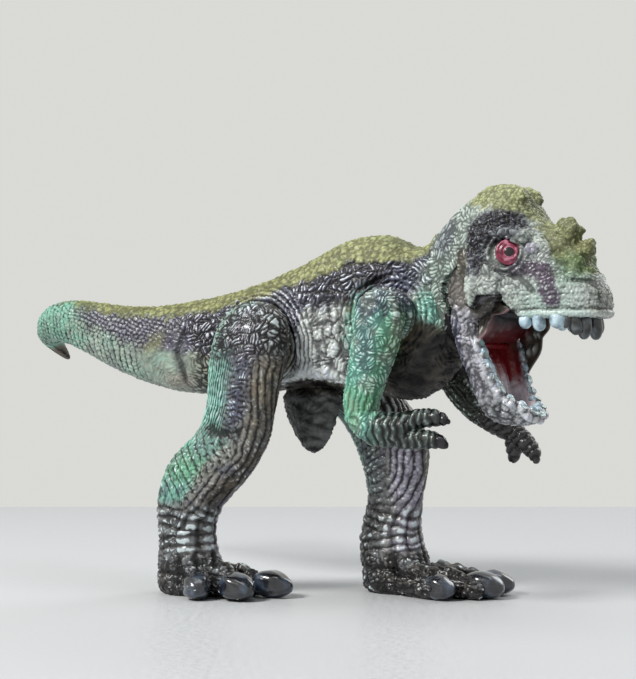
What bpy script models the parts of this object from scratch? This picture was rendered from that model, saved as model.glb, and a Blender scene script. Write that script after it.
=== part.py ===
"""Toy dinosaur figure: a striding meat-eater in moulded vinyl with a wide-open hinged jaw.

The body, tail and head are separate mouldings plugged together. The lower jaw turns on
a cross pin inside the cheeks, and each arm and leg turns on its own round plug.
The figure faces +X, its left side is +Y and it stands on z = 0.
"""

import math

import bmesh
import bpy
from mathutils import Matrix, Vector

mm = 0.001

# Clearances between separate mouldings
running_gap = 0.3 * mm
cut_overrun = 6 * mm
root_sink = 1.2 * mm
weld_distance = 0.01 * mm

# Points round each cage before smoothing
body_sides = 12
limb_sides = 10
digit_sides = 6
finger_sides = 6

# Stance
hip_height = 68 * mm
head_turn = math.radians(-12)

# Body
torso_length = 84 * mm
torso_depth = 42 * mm
torso_half_width = 13.2 * mm
torso_rear = -31 * mm
neck_half_height = 16.3 * mm
neck_half_width = 10 * mm
neck_rise = 13.7 * mm
neck_lean = math.radians(14)
tail_half_height = 13.2 * mm
tail_half_width = 9.5 * mm

# along, centre height, half height, half width, lean in degrees, share of the head's turn
torso_shares = (
    (0.13, 0.005, 0.345, 0.79, 0, 0),
    (0.26, 0.033, 0.363, 0.825, 0, 0),
    (0.405, 0.09, 0.40, 0.835, 0, 0),
    (0.525, 0.14, 0.42, 0.93, 0, 0),
    (0.63, 0.195, 0.488, 1.0, 0, 0),
    (0.74, 0.192, 0.528, 0.925, 0, 0),
    (0.82, 0.165, 0.535, 0.90, 0, 0),
    (0.893, 0.113, 0.496, 0.85, 3, 0.1),
    (0.958, 0.198, 0.443, 0.79, 9, 0.5),
)
back_power = 1.8
belly_power = 2.3

# Keel under the belly, between the legs
keel_length = 17 * mm
keel_drop_share = 0.714
keel_drop = keel_drop_share * torso_depth
keel_half_width = 4.6 * mm
keel_forward = 11 * mm
# depth below the hip, centre forward, half length, half width
keel_shares = (
    (0.34, 0.02, 0.64, 0.9),
    (0.60, 0.01, 0.52, 1.0),
    (0.82, 0.03, 0.34, 0.8),
    (0.99, 0.05, 0.12, 0.4),
)

# Tail
tail_length = 64 * mm
tail_sweep = 28 * mm
tail_rise = 9 * mm
# back, sideways, up, half height, half width
tail_shares = (
    (0.19, 0.01, 0.12, 0.86, 0.86),
    (0.36, 0.05, 0.38, 0.72, 0.74),
    (0.53, 0.10, 0.74, 0.60, 0.66),
    (0.70, 0.20, 0.98, 0.50, 0.58),
    (0.86, 0.38, 0.96, 0.42, 0.50),
    (0.96, 0.60, 0.76, 0.34, 0.42),
    (1.00, 0.79, 0.42, 0.25, 0.32),
    (0.99, 0.93, 0.02, 0.15, 0.20),
    (0.96, 1.00, -0.32, 0.05, 0.07),
)

# Plugs that join the mouldings
tail_plug_radius = 4.5 * mm
tail_plug_length = 7 * mm
neck_plug_radius = 5 * mm
neck_plug_length = 7 * mm

# Head, measured from the middle of the neck joint
head_length = 44.6 * mm
head_depth = 38 * mm
head_half_width = 13.2 * mm
# along, centre height, half height, half width, lean in degrees
head_shares = (
    (0.102, 0.149, 0.418, 0.85, 9),
    (0.223, 0.224, 0.44, 0.955, 4),
    (0.351, 0.222, 0.479, 1.0, 0),
    (0.457, 0.214, 0.497, 0.977, 0),
    (0.521, 0.178, 0.46, 0.924, 0),
    (0.606, 0.088, 0.371, 0.833, 0),
    (0.723, 0.059, 0.342, 0.75, 0),
    (0.84, 0.022, 0.30, 0.652, 0),
    (0.926, -0.059, 0.197, 0.515, 0),
    (0.979, -0.108, 0.125, 0.40, 0),
    (1.012, -0.118, 0.06, 0.24, 0),
)
crown_power = 1.9
cheek_power = 4.4

# Mouth: side outline of the gape and the hollow between the lips
lip_share = -0.21
gape_shares = (
    (0.33, -0.70), (0.33, -0.13), (0.362, -0.066), (0.468, -0.066),
    (0.517, -0.126), (0.581, lip_share), (1.08, lip_share), (1.08, -0.70),
)
# along, half width, roof height
palate_shares = (
    (0.32, 0.86, -0.02),
    (0.45, 0.80, 0.0),
    (0.60, 0.55, -0.03),
    (0.72, 0.47, -0.05),
    (0.84, 0.38, -0.085),
    (0.90, 0.28, -0.12),
    (0.93, 0.17, -0.15),
)

# Jaw hinge, measured from the middle of the neck joint
hinge_forward = 13.5 * mm
hinge_drop = 0.85 * mm
gape_angle = math.radians(63.5)
ear_radius = 7.5 * mm
ear_inner = 8.6 * mm
ear_outer = 11.4 * mm
pin_radius = 1.1 * mm
pin_half_length = 12.3 * mm
slot_reach = 8.8 * mm
slot_depth = 15 * mm
slot_shoulder_drop = 1.5 * mm
slot_arc_steps = 14
ear_window_radius = 4.6 * mm
ear_window_back = 5.8 * mm

# Face
eye_radius = 3.3 * mm
brow_length = 6.5 * mm
brow_thickness = 2.3 * mm
brow_rise = 5 * mm
crest_length = 8 * mm
crest_thickness = 3 * mm
crest_height = 4 * mm
cheek_boss_length = 6 * mm
cheek_boss_height = 6.6 * mm
cheek_boss_bulge = 2.7 * mm
nose_horn_radius = 4 * mm
nose_horn_height = 4.2 * mm
nose_horn_breadth_share = 0.7
snout_boss_radius = 3 * mm
nostril_radius = 1.2 * mm
nostril_stretch_share = 1.5
brow_slope = math.radians(12)
# Places on the head: along its length, out in half widths, up in head depths
eye_shares = (0.507, 0.697, 0.205)
crest_shares = (0.381, 0.273, 0.579)
nose_horn_shares = (0.77, 0, 0.345)
snout_boss_shares = (0.885, 0, 0.225)
nostril_shares = (0.885, 0.60, 0.02)

# Lower jaw, along its own axis from the hinge
jaw_length = 34.6 * mm
jaw_depth = 13.4 * mm
jaw_half_width = 11.4 * mm
jaw_wall = 2.1 * mm
jaw_floor = 3 * mm
jaw_bridge_start = 11 * mm
# along, top, bottom, half width
jaw_shares = (
    (-0.08, 0.16, -0.60, 0.93),
    (0.05, 0.06, -0.84, 1.0),
    (0.18, -0.20, -0.92, 1.0),
    (0.34, -0.29, -0.97, 0.95),
    (0.49, -0.34, -1.02, 0.87),
    (0.64, -0.40, -1.08, 0.78),
    (0.76, -0.39, -1.08, 0.68),
    (0.87, -0.25, -0.95, 0.56),
    (0.95, -0.11, -0.72, 0.42),
    (1.0, -0.12, -0.44, 0.24),
)

# Tongue
tongue_thickness = 2.8 * mm
tongue_half_width = 5.6 * mm
# along the jaw, half width, half thickness
tongue_shares = (
    (0.31, 0.80, 0.55),
    (0.40, 1.0, 0.95),
    (0.52, 0.95, 1.0),
    (0.64, 0.84, 1.0),
    (0.75, 0.66, 0.85),
    (0.83, 0.40, 0.5),
)

# Teeth
upper_tooth_radius = 1.25 * mm
lower_tooth_radius = 1.25 * mm
tooth_length = 3.3 * mm
# Each tooth narrows to this share of its radius at this share of its length
tooth_waist_share = 0.78
tooth_body_share = 0.62
# along the head, share of the half width, share of the tooth length
upper_tooth_shares = (
    (0.605, 0.62, 0.75), (0.67, 0.58, 0.95), (0.735, 0.545, 0.8), (0.80, 0.50, 1.0),
    (0.865, 0.435, 0.85), (0.925, 0.315, 1.25), (0.96, 0.115, 1.4),
)
# along the jaw, share of the jaw's half width, height on the jaw, share of the tooth length
lower_tooth_shares = (
    (0.36, 0.85, -0.34, 0.5), (0.45, 0.80, -0.365, 0.62), (0.54, 0.745, -0.40, 0.55),
    (0.63, 0.69, -0.44, 0.65), (0.72, 0.625, -0.45, 0.55), (0.81, 0.54, -0.39, 0.65),
    (0.89, 0.40, -0.27, 0.6), (0.945, 0.16, -0.20, 0.7),
)

# Arms
shoulder_share = 0.839
shoulder_forward = torso_rear + shoulder_share * torso_length
shoulder_height = 75 * mm
shoulder_radius = 7.4 * mm
shoulder_seat = 10.2 * mm
arm_side = 16.6 * mm
arm_half_width = 4.5 * mm
arm_reach = 28 * mm
arm_plug_radius = 2.4 * mm
arm_plug_length = 4.5 * mm
finger_length = 14.5 * mm
finger_radius = 3.1 * mm
shoulder_cap = 3.2 * mm

# Legs
hip_radius = 11.6 * mm
hip_cap = 3.6 * mm
hip_seat = 8.2 * mm
leg_side = 17.8 * mm
leg_half_width = 6.7 * mm
leg_depth = 12 * mm
leg_plug_radius = 3.4 * mm
leg_plug_length = 5.5 * mm
toe_radius = 5 * mm
toe_length = 20 * mm

# height above the ground in hip heights, forward in leg depths, half depth, half width, sideways
right_leg_shares = (
    (1.165, 0.28, 0.45, 0.42, -0.10),
    (1.10, 0.28, 0.86, 0.80, -0.05),
    (1.00, 0.16, 1.03, 0.98, 0),
    (0.86, 0.03, 0.95, 1.0, 0),
    (0.74, -0.06, 0.86, 0.96, 0.02),
    (0.635, -0.26, 0.97, 0.95, -0.03),
    (0.56, -0.72, 1.20, 1.0, -0.10),
    (0.46, -1.12, 1.16, 0.97, -0.20),
    (0.36, -1.58, 0.86, 0.88, -0.30),
    (0.26, -1.66, 0.70, 0.84, -0.40),
    (0.165, -1.60, 0.78, 0.95, -0.45),
    (0.085, -1.58, 0.86, 1.15, -0.48),
    (-0.03, -1.58, 0.82, 1.15, -0.48),
)
left_leg_shares = (
    (1.165, 0.34, 0.45, 0.42, -0.10),
    (1.10, 0.34, 0.86, 0.80, -0.05),
    (1.00, 0.42, 1.05, 0.98, 0),
    (0.89, 0.88, 1.10, 1.0, 0.02),
    (0.78, 1.50, 1.12, 1.0, 0.03),
    (0.68, 2.08, 1.05, 1.0, -0.02),
    (0.57, 2.34, 0.95, 0.97, -0.10),
    (0.455, 2.42, 0.76, 0.90, -0.22),
    (0.35, 2.42, 0.66, 0.85, -0.34),
    (0.26, 2.30, 0.76, 0.90, -0.42),
    (0.175, 2.38, 0.84, 0.98, -0.48),
    (0.085, 2.50, 0.90, 1.15, -0.50),
    (-0.03, 2.50, 0.86, 1.15, -0.50),
)
# start forward, start sideways (outward), heading outward in degrees, length, thickness
right_toe_shares = (
    (-1.42, -0.35, 55, 0.68, 0.98),
    (-1.20, -0.50, 22, 0.93, 1.08),
    (-1.15, -0.95, -4, 0.98, 0.95),
)
left_toe_shares = (
    (2.60, -0.95, -24, 0.80, 0.92),
    (2.80, -0.68, -6, 1.15, 1.02),
    (2.90, -0.20, 12, 1.22, 0.95),
)
# along the toe, height in toe radii, radius
toe_profile_shares = (
    (-0.15, 0.92, 0.85),
    (0.22, 0.93, 1.04),
    (0.60, 0.80, 0.98),
    (0.74, 0.68, 0.78),
    (0.92, 0.60, 0.86),
    (1.06, 0.30, 0.42),
)

# Arm paths from the shoulder, in arm reaches: forward, outward, up, then the thickness
right_arm_shares = (
    (0.03, -0.02, 0.25, 1.0),
    (0.02, 0.0, 0.02, 1.75),
    (-0.04, 0.0, -0.28, 1.52),
    (-0.14, 0.01, -0.62, 1.22),
    (-0.21, 0.02, -0.92, 1.20),
    (-0.02, 0.01, -1.06, 1.20),
    (0.18, 0.0, -1.03, 1.0),
    (0.34, -0.02, -1.02, 0.80),
)
left_arm_shares = (
    (0.0, -0.02, 0.25, 1.0),
    (0.03, 0.0, 0.02, 1.75),
    (0.13, 0.0, -0.28, 1.48),
    (0.25, 0.01, -0.58, 1.18),
    (0.42, 0.02, -0.80, 1.06),
    (0.60, 0.01, -0.94, 0.92),
    (0.76, 0.0, -1.02, 0.86),
    (0.88, -0.01, -1.08, 0.80),
)
# start forward, outward, up in arm reaches, pitch in degrees, share of the length
right_finger_shares = ((0.22, -0.03, -0.96, 5, 0.9), (0.20, 0.0, -1.13, 0, 0.95))
left_finger_shares = ((0.86, -0.03, -1.05, -48, 0.78), (0.82, 0.03, -1.02, -84, 0.70))
# along the finger, drop, radius
finger_profile_shares = (
    (-0.2, 0.0, 0.75),
    (0.1, 0.0, 1.0),
    (0.4, 0.02, 0.95),
    (0.68, 0.02, 0.9),
    (0.86, -0.03, 0.62),
    (1.0, -0.12, 0.2),
)

# Colours, roughness and metallic of the vinyl and its paint
paints = {
    "torso": ((0.16, 0.16, 0.09), 0.45, 0.0),
    "tail": ((0.20, 0.22, 0.11), 0.45, 0.0),
    "head": ((0.28, 0.30, 0.17), 0.45, 0.0),
    "lower_jaw": ((0.42, 0.42, 0.42), 0.35, 0.0),
    "tongue": ((0.30, 0.02, 0.03), 0.2, 0.0),
    "jaw_pin": ((0.55, 0.55, 0.57), 0.35, 1.0),
    "right_arm": ((0.12, 0.28, 0.16), 0.45, 0.0),
    "left_arm": ((0.08, 0.08, 0.09), 0.45, 0.0),
    "right_leg": ((0.16, 0.22, 0.17), 0.45, 0.0),
    "left_leg": ((0.20, 0.18, 0.17), 0.45, 0.0),
}


def empty_scene():
    for thing in list(bpy.data.objects):
        bpy.data.objects.remove(thing)


def new_collection(name):
    made = bpy.data.collections.new(name)
    bpy.context.scene.collection.children.link(made)
    return made


def paint(thing):
    colour, roughness, metallic = paints[thing.name]
    material = bpy.data.materials.new(thing.name)
    material.use_nodes = True
    shader = material.node_tree.nodes["Principled BSDF"]
    shader.inputs["Base Color"].default_value = (*colour, 1)
    shader.inputs["Roughness"].default_value = roughness
    shader.inputs["Metallic"].default_value = metallic
    thing.data.materials.append(material)


def turned(angle, axis):
    return Matrix.Rotation(angle, 4, axis)


def moved(x, y, z):
    return Matrix.Translation((x, y, z))


def signed_power(value, power):
    return math.copysign(abs(value) ** power, value)


def oval(half_width, half_height, top_power, bottom_power, count):
    """Points of a section across X: an oval, squarer or more ridged by its powers."""
    points = []
    for step in range(count):
        angle = 2 * math.pi * (step + 0.5) / count
        power = top_power if math.sin(angle) > 0 else bottom_power
        across = half_width * signed_power(math.cos(angle), 2 / power)
        up = half_height * signed_power(math.sin(angle), 2 / power)
        points.append(Vector((0, across, up)))
    return points


def link(name, mesh, group):
    thing = bpy.data.objects.new(name, mesh)
    group.objects.link(thing)
    return thing


def cage(name, rings, group, level, sharp_start=False, sharp_end=False):
    """A closed coarse cage through unlike sections, smoothed by subdivision."""
    shape = bmesh.new()
    crease = shape.edges.layers.float.new("crease_edge")
    loops = [[shape.verts.new(point) for point in ring] for ring in rings]
    for near, far in zip(loops, loops[1:]):
        for here in range(len(near)):
            there = (here + 1) % len(near)
            shape.faces.new((near[here], near[there], far[there], far[here]))
    shape.faces.new(list(reversed(loops[0])))
    shape.faces.new(loops[-1])
    for loop, sharp in ((loops[0], sharp_start), (loops[-1], sharp_end)):
        for here in range(len(loop)):
            edge = shape.edges.get((loop[here], loop[here - 1]))
            edge[crease] = 1.0 if sharp else 0.0
    bmesh.ops.recalc_face_normals(shape, faces=shape.faces)
    mesh = bpy.data.meshes.new(name)
    shape.to_mesh(mesh)
    shape.free()
    mesh.shade_smooth()
    thing = link(name, mesh, group)
    if level:
        smooth = thing.modifiers.new("Smooth form", "SUBSURF")
        smooth.levels = level
        smooth.render_levels = level
    return thing


def along_path(points):
    """A frame at each point of a path, X along it and Z kept upright."""
    frames = []
    for index, point in enumerate(points):
        before = points[max(index - 1, 0)]
        after = points[min(index + 1, len(points) - 1)]
        forward = (after - before).normalized()
        side = Vector((0, 0, 1)).cross(forward)
        if side.length < 0.3:
            side = Vector((0, 1, 0))
        side = (side - forward * side.dot(forward)).normalized()
        up = forward.cross(side)
        turn = Matrix((forward, side, up)).transposed().to_4x4()
        frames.append(Matrix.Translation(point) @ turn)
    return frames


def tube(name, points, sizes, count, group, level):
    """A limb, toe or finger through points, with a half width and half height at each."""
    rings = []
    for frame, (half_width, half_height) in zip(along_path(points), sizes):
        rings.append([frame @ point for point in oval(half_width, half_height, 2, 2, count)])
    return cage(name, rings, group, level)


def drum(name, radius, near, far, frame, group, sides=24):
    """A cylinder along Y from one distance to another, its flats turned on the left side."""
    shape = bmesh.new()
    bmesh.ops.create_cone(shape, cap_ends=True, segments=sides, radius1=radius,
                          radius2=radius, depth=abs(far - near))
    mesh = bpy.data.meshes.new(name)
    shape.to_mesh(mesh)
    shape.free()
    mesh.shade_smooth()
    mesh.set_sharp_from_angle(angle=math.radians(40))
    thing = link(name, mesh, group)
    middle = (near + far) / 2
    twist = math.pi / sides if middle > 0 else 0
    thing.matrix_world = (frame @ moved(0, middle, 0) @ turned(math.radians(90), "X")
                          @ turned(twist, "Z"))
    return thing


def ball(name, radii, frame, group, segments=14, rings=8):
    """An ellipsoid with its own half lengths along X, Y and Z."""
    shape = bmesh.new()
    bmesh.ops.create_uvsphere(shape, u_segments=segments, v_segments=rings, radius=1)
    bmesh.ops.scale(shape, vec=Vector(radii), verts=shape.verts)
    mesh = bpy.data.meshes.new(name)
    shape.to_mesh(mesh)
    shape.free()
    mesh.shade_smooth()
    thing = link(name, mesh, group)
    thing.matrix_world = frame
    return thing


def slab(name, outline, half_width, frame, group):
    """A flat side outline in X and Z, extruded to both sides along Y."""
    curve = bpy.data.curves.new(name, "CURVE")
    curve.dimensions = "2D"
    curve.fill_mode = "BOTH"
    curve.extrude = half_width
    spline = curve.splines.new("POLY")
    spline.points.add(len(outline) - 1)
    for point, (x, z) in zip(spline.points, outline):
        point.co = (x, z, 0, 1)
    spline.use_cyclic_u = True
    drawn = link(name, curve, group)
    drawn.matrix_world = frame @ turned(math.radians(90), "X")
    return as_mesh(drawn, group)


def as_mesh(curve_thing, group):
    bpy.context.view_layer.update()
    seen = curve_thing.evaluated_get(bpy.context.evaluated_depsgraph_get())
    mesh = bpy.data.meshes.new_from_object(seen)
    shape = bmesh.new()
    shape.from_mesh(mesh)
    bmesh.ops.remove_doubles(shape, verts=shape.verts, dist=weld_distance)
    bmesh.ops.recalc_face_normals(shape, faces=shape.faces)
    shape.to_mesh(mesh)
    shape.free()
    name = curve_thing.name
    place = curve_thing.matrix_world.copy()
    bpy.data.objects.remove(curve_thing)
    thing = link(name, mesh, group)
    thing.matrix_world = place
    return thing


def combine(target, tool, operation):
    """Joins a tool to its target, or cuts it out, and lets the tool follow the target."""
    bpy.context.view_layer.update()
    step = target.modifiers.new(tool.name, "BOOLEAN")
    step.object = tool
    step.operation = operation
    step.solver = "EXACT"
    tool.hide_render = True
    tool.display_type = "WIRE"
    place = tool.matrix_world.copy()
    tool.parent = target
    tool.matrix_parent_inverse = target.matrix_world.inverted()
    tool.matrix_world = place


def add(target, tool):
    combine(target, tool, "UNION")


def cut(target, tool):
    combine(target, tool, "DIFFERENCE")


def spikes(name, places, group, sides=6):
    """Teeth: blunt cones, each given by its frame (Z to the tip), radius and length."""
    shape = bmesh.new()
    for frame, radius, length in places:
        body = length * tooth_body_share
        base = bmesh.ops.create_cone(shape, cap_ends=True, segments=sides, radius1=radius,
                                     radius2=radius * tooth_waist_share, depth=body)
        bmesh.ops.transform(shape, matrix=frame @ moved(0, 0, body / 2), verts=base["verts"])
        crown = [vert for vert in base["verts"] if (frame.inverted() @ vert.co).z > body / 2]
        lid = [face for face in shape.faces if all(vert in crown for vert in face.verts)]
        tip = bmesh.ops.poke(shape, faces=lid)["verts"]
        for vert in tip:
            vert.co = frame @ Vector((0, 0, length))
    mesh = bpy.data.meshes.new(name)
    shape.to_mesh(mesh)
    shape.free()
    mesh.shade_smooth()
    return link(name, mesh, group)


def neck_frame():
    """The middle of the neck joint, turned with the head."""
    return moved(torso_rear + torso_length, 0, hip_height + neck_rise) @ turned(head_turn, "Z")


def jaw_frame():
    hinge = moved(hinge_forward, 0, -hinge_drop)
    return neck_frame() @ hinge @ turned(gape_angle, "Y")


def neck_ring(offset):
    lean = turned(-neck_lean, "Y")
    shape = oval(neck_half_width, neck_half_height, back_power, belly_power, body_sides)
    return [neck_frame() @ lean @ moved(offset, 0, 0) @ point for point in shape]


def tail_ring(offset):
    shape = oval(tail_half_width, tail_half_height, back_power, belly_power, body_sides)
    return [Vector((torso_rear + offset, 0, hip_height)) + point for point in shape]


def build_torso(parts, tools):
    rings = [tail_ring(0)]
    for along, centre, half_height, half_width, lean, turn in torso_shares:
        frame = (moved(torso_rear + along * torso_length, 0, hip_height + centre * torso_depth)
                 @ turned(head_turn * turn, "Z") @ turned(-math.radians(lean), "Y"))
        shape = oval(half_width * torso_half_width, half_height * torso_depth,
                     back_power, belly_power, body_sides)
        rings.append([frame @ point for point in shape])
    rings.append(neck_ring(0))
    torso = cage("torso", rings, parts, 1, sharp_start=True, sharp_end=True)
    add(torso, build_keel(tools))
    cut_sockets(torso, tools)
    return torso


def build_keel(tools):
    rings = []
    for down, forward, half_length, half_width in keel_shares:
        middle = Vector((keel_forward + forward * keel_length, 0, hip_height - down * keel_drop))
        shape = oval(half_width * keel_half_width, half_length * keel_length, 2, 2, 10)
        rings.append([middle + Vector((point.z, point.y, 0)) for point in shape])
    return cage("keel", rings, tools, 1)


def cut_sockets(torso, tools):
    for side, name in ((-1, "right"), (1, "left")):
        hip = moved(0, 0, hip_height)
        seat = drum(name + "_hip_seat", hip_radius + running_gap, side * hip_seat,
                    side * (torso_half_width + cut_overrun), hip, tools, 28)
        cut(torso, seat)
        hole = drum(name + "_hip_socket", leg_plug_radius + running_gap,
                    side * (hip_seat - leg_plug_length), side * (hip_seat + cut_overrun), hip, tools)
        cut(torso, hole)
        shoulder = moved(shoulder_forward, 0, shoulder_height)
        seat = drum(name + "_shoulder_seat", shoulder_radius + running_gap, side * shoulder_seat,
                    side * (torso_half_width + cut_overrun), shoulder, tools)
        cut(torso, seat)
        hole = drum(name + "_shoulder_socket", arm_plug_radius + running_gap,
                    side * (shoulder_seat - arm_plug_length), side * (shoulder_seat + cut_overrun),
                    shoulder, tools, 16)
        cut(torso, hole)
    rear = moved(torso_rear, 0, hip_height) @ turned(math.radians(90), "Z")
    cut(torso, drum("tail_socket", tail_plug_radius + running_gap, -tail_plug_length - running_gap,
                    cut_overrun, rear, tools))
    front = neck_frame() @ turned(-neck_lean, "Y") @ turned(math.radians(90), "Z")
    cut(torso, drum("neck_socket", neck_plug_radius + running_gap, -cut_overrun,
                    neck_plug_length + running_gap, front, tools))


def build_tail(parts, tools):
    points = []
    sizes = []
    for back, side, up, half_height, half_width in tail_shares:
        points.append(Vector((torso_rear - back * tail_length, side * tail_sweep,
                              hip_height + up * tail_rise)))
        sizes.append((half_width * tail_half_width, half_height * tail_half_height))
    rings = [tail_ring(-running_gap)]
    for frame, (half_width, half_height) in zip(along_path(points), sizes):
        shape = oval(half_width, half_height, back_power, belly_power, body_sides)
        rings.append([frame @ Vector((0, -point.y, point.z)) for point in shape])
    tail = cage("tail", rings, parts, 1, sharp_start=True)
    rear = moved(torso_rear, 0, hip_height) @ turned(math.radians(90), "Z")
    add(tail, drum("tail_plug", tail_plug_radius, -tail_plug_length, tail_plug_length, rear, tools))
    return tail


def build_head(parts, tools):
    frame = neck_frame()
    rings = [[frame.inverted() @ point for point in neck_ring(running_gap)]]
    for along, centre, half_height, half_width, lean in head_shares:
        place = (moved(along * head_length, 0, centre * head_depth)
                 @ turned(-math.radians(lean), "Y"))
        shape = oval(half_width * head_half_width, half_height * head_depth,
                     crown_power, cheek_power, body_sides)
        rings.append([place @ point for point in shape])
    head = cage("head", rings, parts, 1, sharp_start=True)
    head.matrix_world = frame
    add_face(head, frame, tools)
    open_mouth(head, frame, tools)
    add(head, build_upper_teeth(frame, tools))
    plug = frame @ turned(-neck_lean, "Y") @ turned(math.radians(90), "Z")
    add(head, drum("neck_plug", neck_plug_radius, -neck_plug_length, neck_plug_length, plug, tools))
    return head


def on_head(shares, side):
    along, out, up = shares
    return moved(along * head_length, side * out * head_half_width, up * head_depth)


def add_face(head, frame, tools):
    horn_breadth = nose_horn_radius * nose_horn_breadth_share
    add(head, ball("nose_horn", (nose_horn_radius, horn_breadth, nose_horn_height),
                   frame @ on_head(nose_horn_shares, 1), tools, 10, 6))
    boss = frame @ on_head(snout_boss_shares, 1)
    add(head, ball("snout_boss", (snout_boss_radius, snout_boss_radius, snout_boss_radius),
                   boss, tools, 8, 6))
    for side, name in ((-1, "right"), (1, "left")):
        crest = frame @ on_head(crest_shares, side)
        add(head, ball(name + "_crest", (crest_length, crest_thickness, crest_height), crest, tools,
                       10, 6))
        eye = frame @ on_head(eye_shares, side)
        add(head, ball(name + "_eye", (eye_radius, eye_radius, eye_radius), eye, tools, 14, 8))
        brow = eye @ moved(0, 0, brow_rise) @ turned(brow_slope, "Y")
        add(head, ball(name + "_brow", (brow_length, brow_thickness, brow_thickness), brow, tools,
                       10, 6))
        boss = frame @ moved(hinge_forward + cheek_boss_length / 2, side * ear_outer, 0)
        add(head, ball(name + "_cheek", (cheek_boss_length, cheek_boss_bulge, cheek_boss_height),
                       boss, tools, 12, 7))
        nostril_length = nostril_radius * nostril_stretch_share
        cut(head, ball(name + "_nostril", (nostril_length, nostril_radius, nostril_radius),
                       frame @ on_head(nostril_shares, side), tools, 8, 5))


def open_mouth(head, frame, tools):
    outline = [(x * head_length, z * head_depth) for x, z in gape_shares]
    cut(head, slab("gape", outline, head_half_width + cut_overrun, frame, tools))
    rings = []
    for along, half_width, roof in palate_shares:
        low = gape_shares[0][1] * head_depth
        high = roof * head_depth
        middle = Vector((along * head_length, 0, (low + high) / 2))
        shape = oval(half_width * head_half_width, (high - low) / 2, 4, 8, 12)
        rings.append([middle + point for point in shape])
    palate = cage("palate", rings, tools, 1)
    palate.matrix_world = frame
    cut(head, palate)
    hinge = frame @ moved(hinge_forward, 0, -hinge_drop)
    for side, name in ((-1, "right"), (1, "left")):
        inner = side * (ear_inner - running_gap)
        outer = side * (ear_outer + running_gap)
        middle = (inner + outer) / 2
        cut(head, slab(name + "_ear_slot", slot_outline(), abs(outer - inner) / 2,
                       hinge @ moved(0, middle, 0), tools))
        rear = hinge @ moved(-ear_window_back, 0, 0)
        cut(head, drum(name + "_ear_window", ear_window_radius, side * ear_inner,
                       side * (head_half_width + cut_overrun), rear, tools, 20))
    cut(head, drum("pin_hole", pin_radius + running_gap, -pin_half_length - running_gap,
                   pin_half_length + running_gap, hinge, tools, 18))


def slot_outline():
    """Round over the ear of the jaw, square below it where the jaw swings."""
    radius = ear_radius + running_gap
    arc = [(radius * math.cos(math.pi * step / slot_arc_steps),
            radius * math.sin(math.pi * step / slot_arc_steps)) for step in range(slot_arc_steps + 1)]
    low = -slot_depth
    shoulder = -slot_shoulder_drop
    return ([(slot_reach, low), (slot_reach, shoulder)] + arc
            + [(-slot_reach, shoulder), (-slot_reach, low)])


def build_upper_teeth(frame, tools):
    places = []
    point_down = turned(math.radians(180), "X")
    for along, across, length in upper_tooth_shares:
        for side in (-1, 1):
            root = moved(along * head_length, side * across * head_half_width,
                         lip_share * head_depth + root_sink)
            places.append((root @ point_down, upper_tooth_radius, tooth_length * length + root_sink))
    teeth = spikes("upper_teeth", places, tools)
    teeth.matrix_world = frame
    return teeth


def build_lower_jaw(parts, tools):
    frame = jaw_frame()
    rings = []
    for along, top, bottom, half_width in jaw_shares:
        middle = Vector((along * jaw_length, 0, (top + bottom) / 2 * jaw_depth))
        shape = oval(half_width * jaw_half_width, (top - bottom) / 2 * jaw_depth, 3.5, 3.8, body_sides)
        rings.append([middle + point for point in shape])
    jaw = cage("lower_jaw", rings, parts, 1)
    jaw.matrix_world = frame
    for side, name in ((-1, "right"), (1, "left")):
        add(jaw, drum(name + "_ear", ear_radius, side * (ear_inner - root_sink), side * ear_outer, frame,
                      tools, 24))
    hollow_jaw(jaw, frame, tools)
    add(jaw, build_lower_teeth(frame, tools))
    return jaw


def trough_floor(along):
    """Height of the mouth floor inside the lower jaw, from the jaw's underside."""
    for (near, _, low, _), (far, _, next_low, _) in zip(jaw_shares, jaw_shares[1:]):
        if near <= along <= far:
            share = (along - near) / (far - near)
            return (low + share * (next_low - low)) * jaw_depth + jaw_floor
    return jaw_shares[-1][2] * jaw_depth + jaw_floor


def hollow_jaw(jaw, frame, tools):
    rings = []
    for along, top, bottom, half_width in jaw_shares[2:-1]:
        low = trough_floor(along)
        high = cut_overrun
        middle = Vector((along * jaw_length, 0, (low + high) / 2))
        shape = oval(half_width * jaw_half_width - jaw_wall, (high - low) / 2, 8, 3, 12)
        rings.append([middle + point for point in shape])
    trough = cage("mouth_floor", rings, tools, 1)
    trough.matrix_world = frame
    cut(jaw, trough)
    reach = 2 * jaw_depth
    box = [(-reach, -reach), (jaw_bridge_start, -reach), (jaw_bridge_start, reach), (-reach, reach)]
    cut(jaw, slab("throat_gap", box, ear_inner, frame, tools))
    cut(jaw, drum("jaw_pin_bore", pin_radius + running_gap, -ear_outer - cut_overrun,
                  ear_outer + cut_overrun, frame, tools, 16))


def build_lower_teeth(frame, tools):
    places = []
    for along, across, height, length in lower_tooth_shares:
        for side in (-1, 1):
            root = moved(along * jaw_length, side * across * jaw_half_width,
                         height * jaw_depth - root_sink)
            places.append((root, lower_tooth_radius, tooth_length * length + root_sink))
    teeth = spikes("lower_teeth", places, tools)
    teeth.matrix_world = frame
    return teeth


def build_tongue(parts):
    frame = jaw_frame()
    rings = []
    for along, half_width, half_height in tongue_shares:
        half = half_height * tongue_thickness / 2
        middle = Vector((along * jaw_length, 0, trough_floor(along) + running_gap + half))
        shape = oval(half_width * tongue_half_width, half, 2, 3, digit_sides)
        rings.append([middle + point for point in shape])
    tongue = cage("tongue", rings, parts, 1)
    tongue.matrix_world = frame
    return tongue


def build_jaw_pin(parts):
    hinge = neck_frame() @ moved(hinge_forward, 0, -hinge_drop)
    return drum("jaw_pin", pin_radius, -pin_half_length, pin_half_length, hinge, parts, 16)


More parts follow.
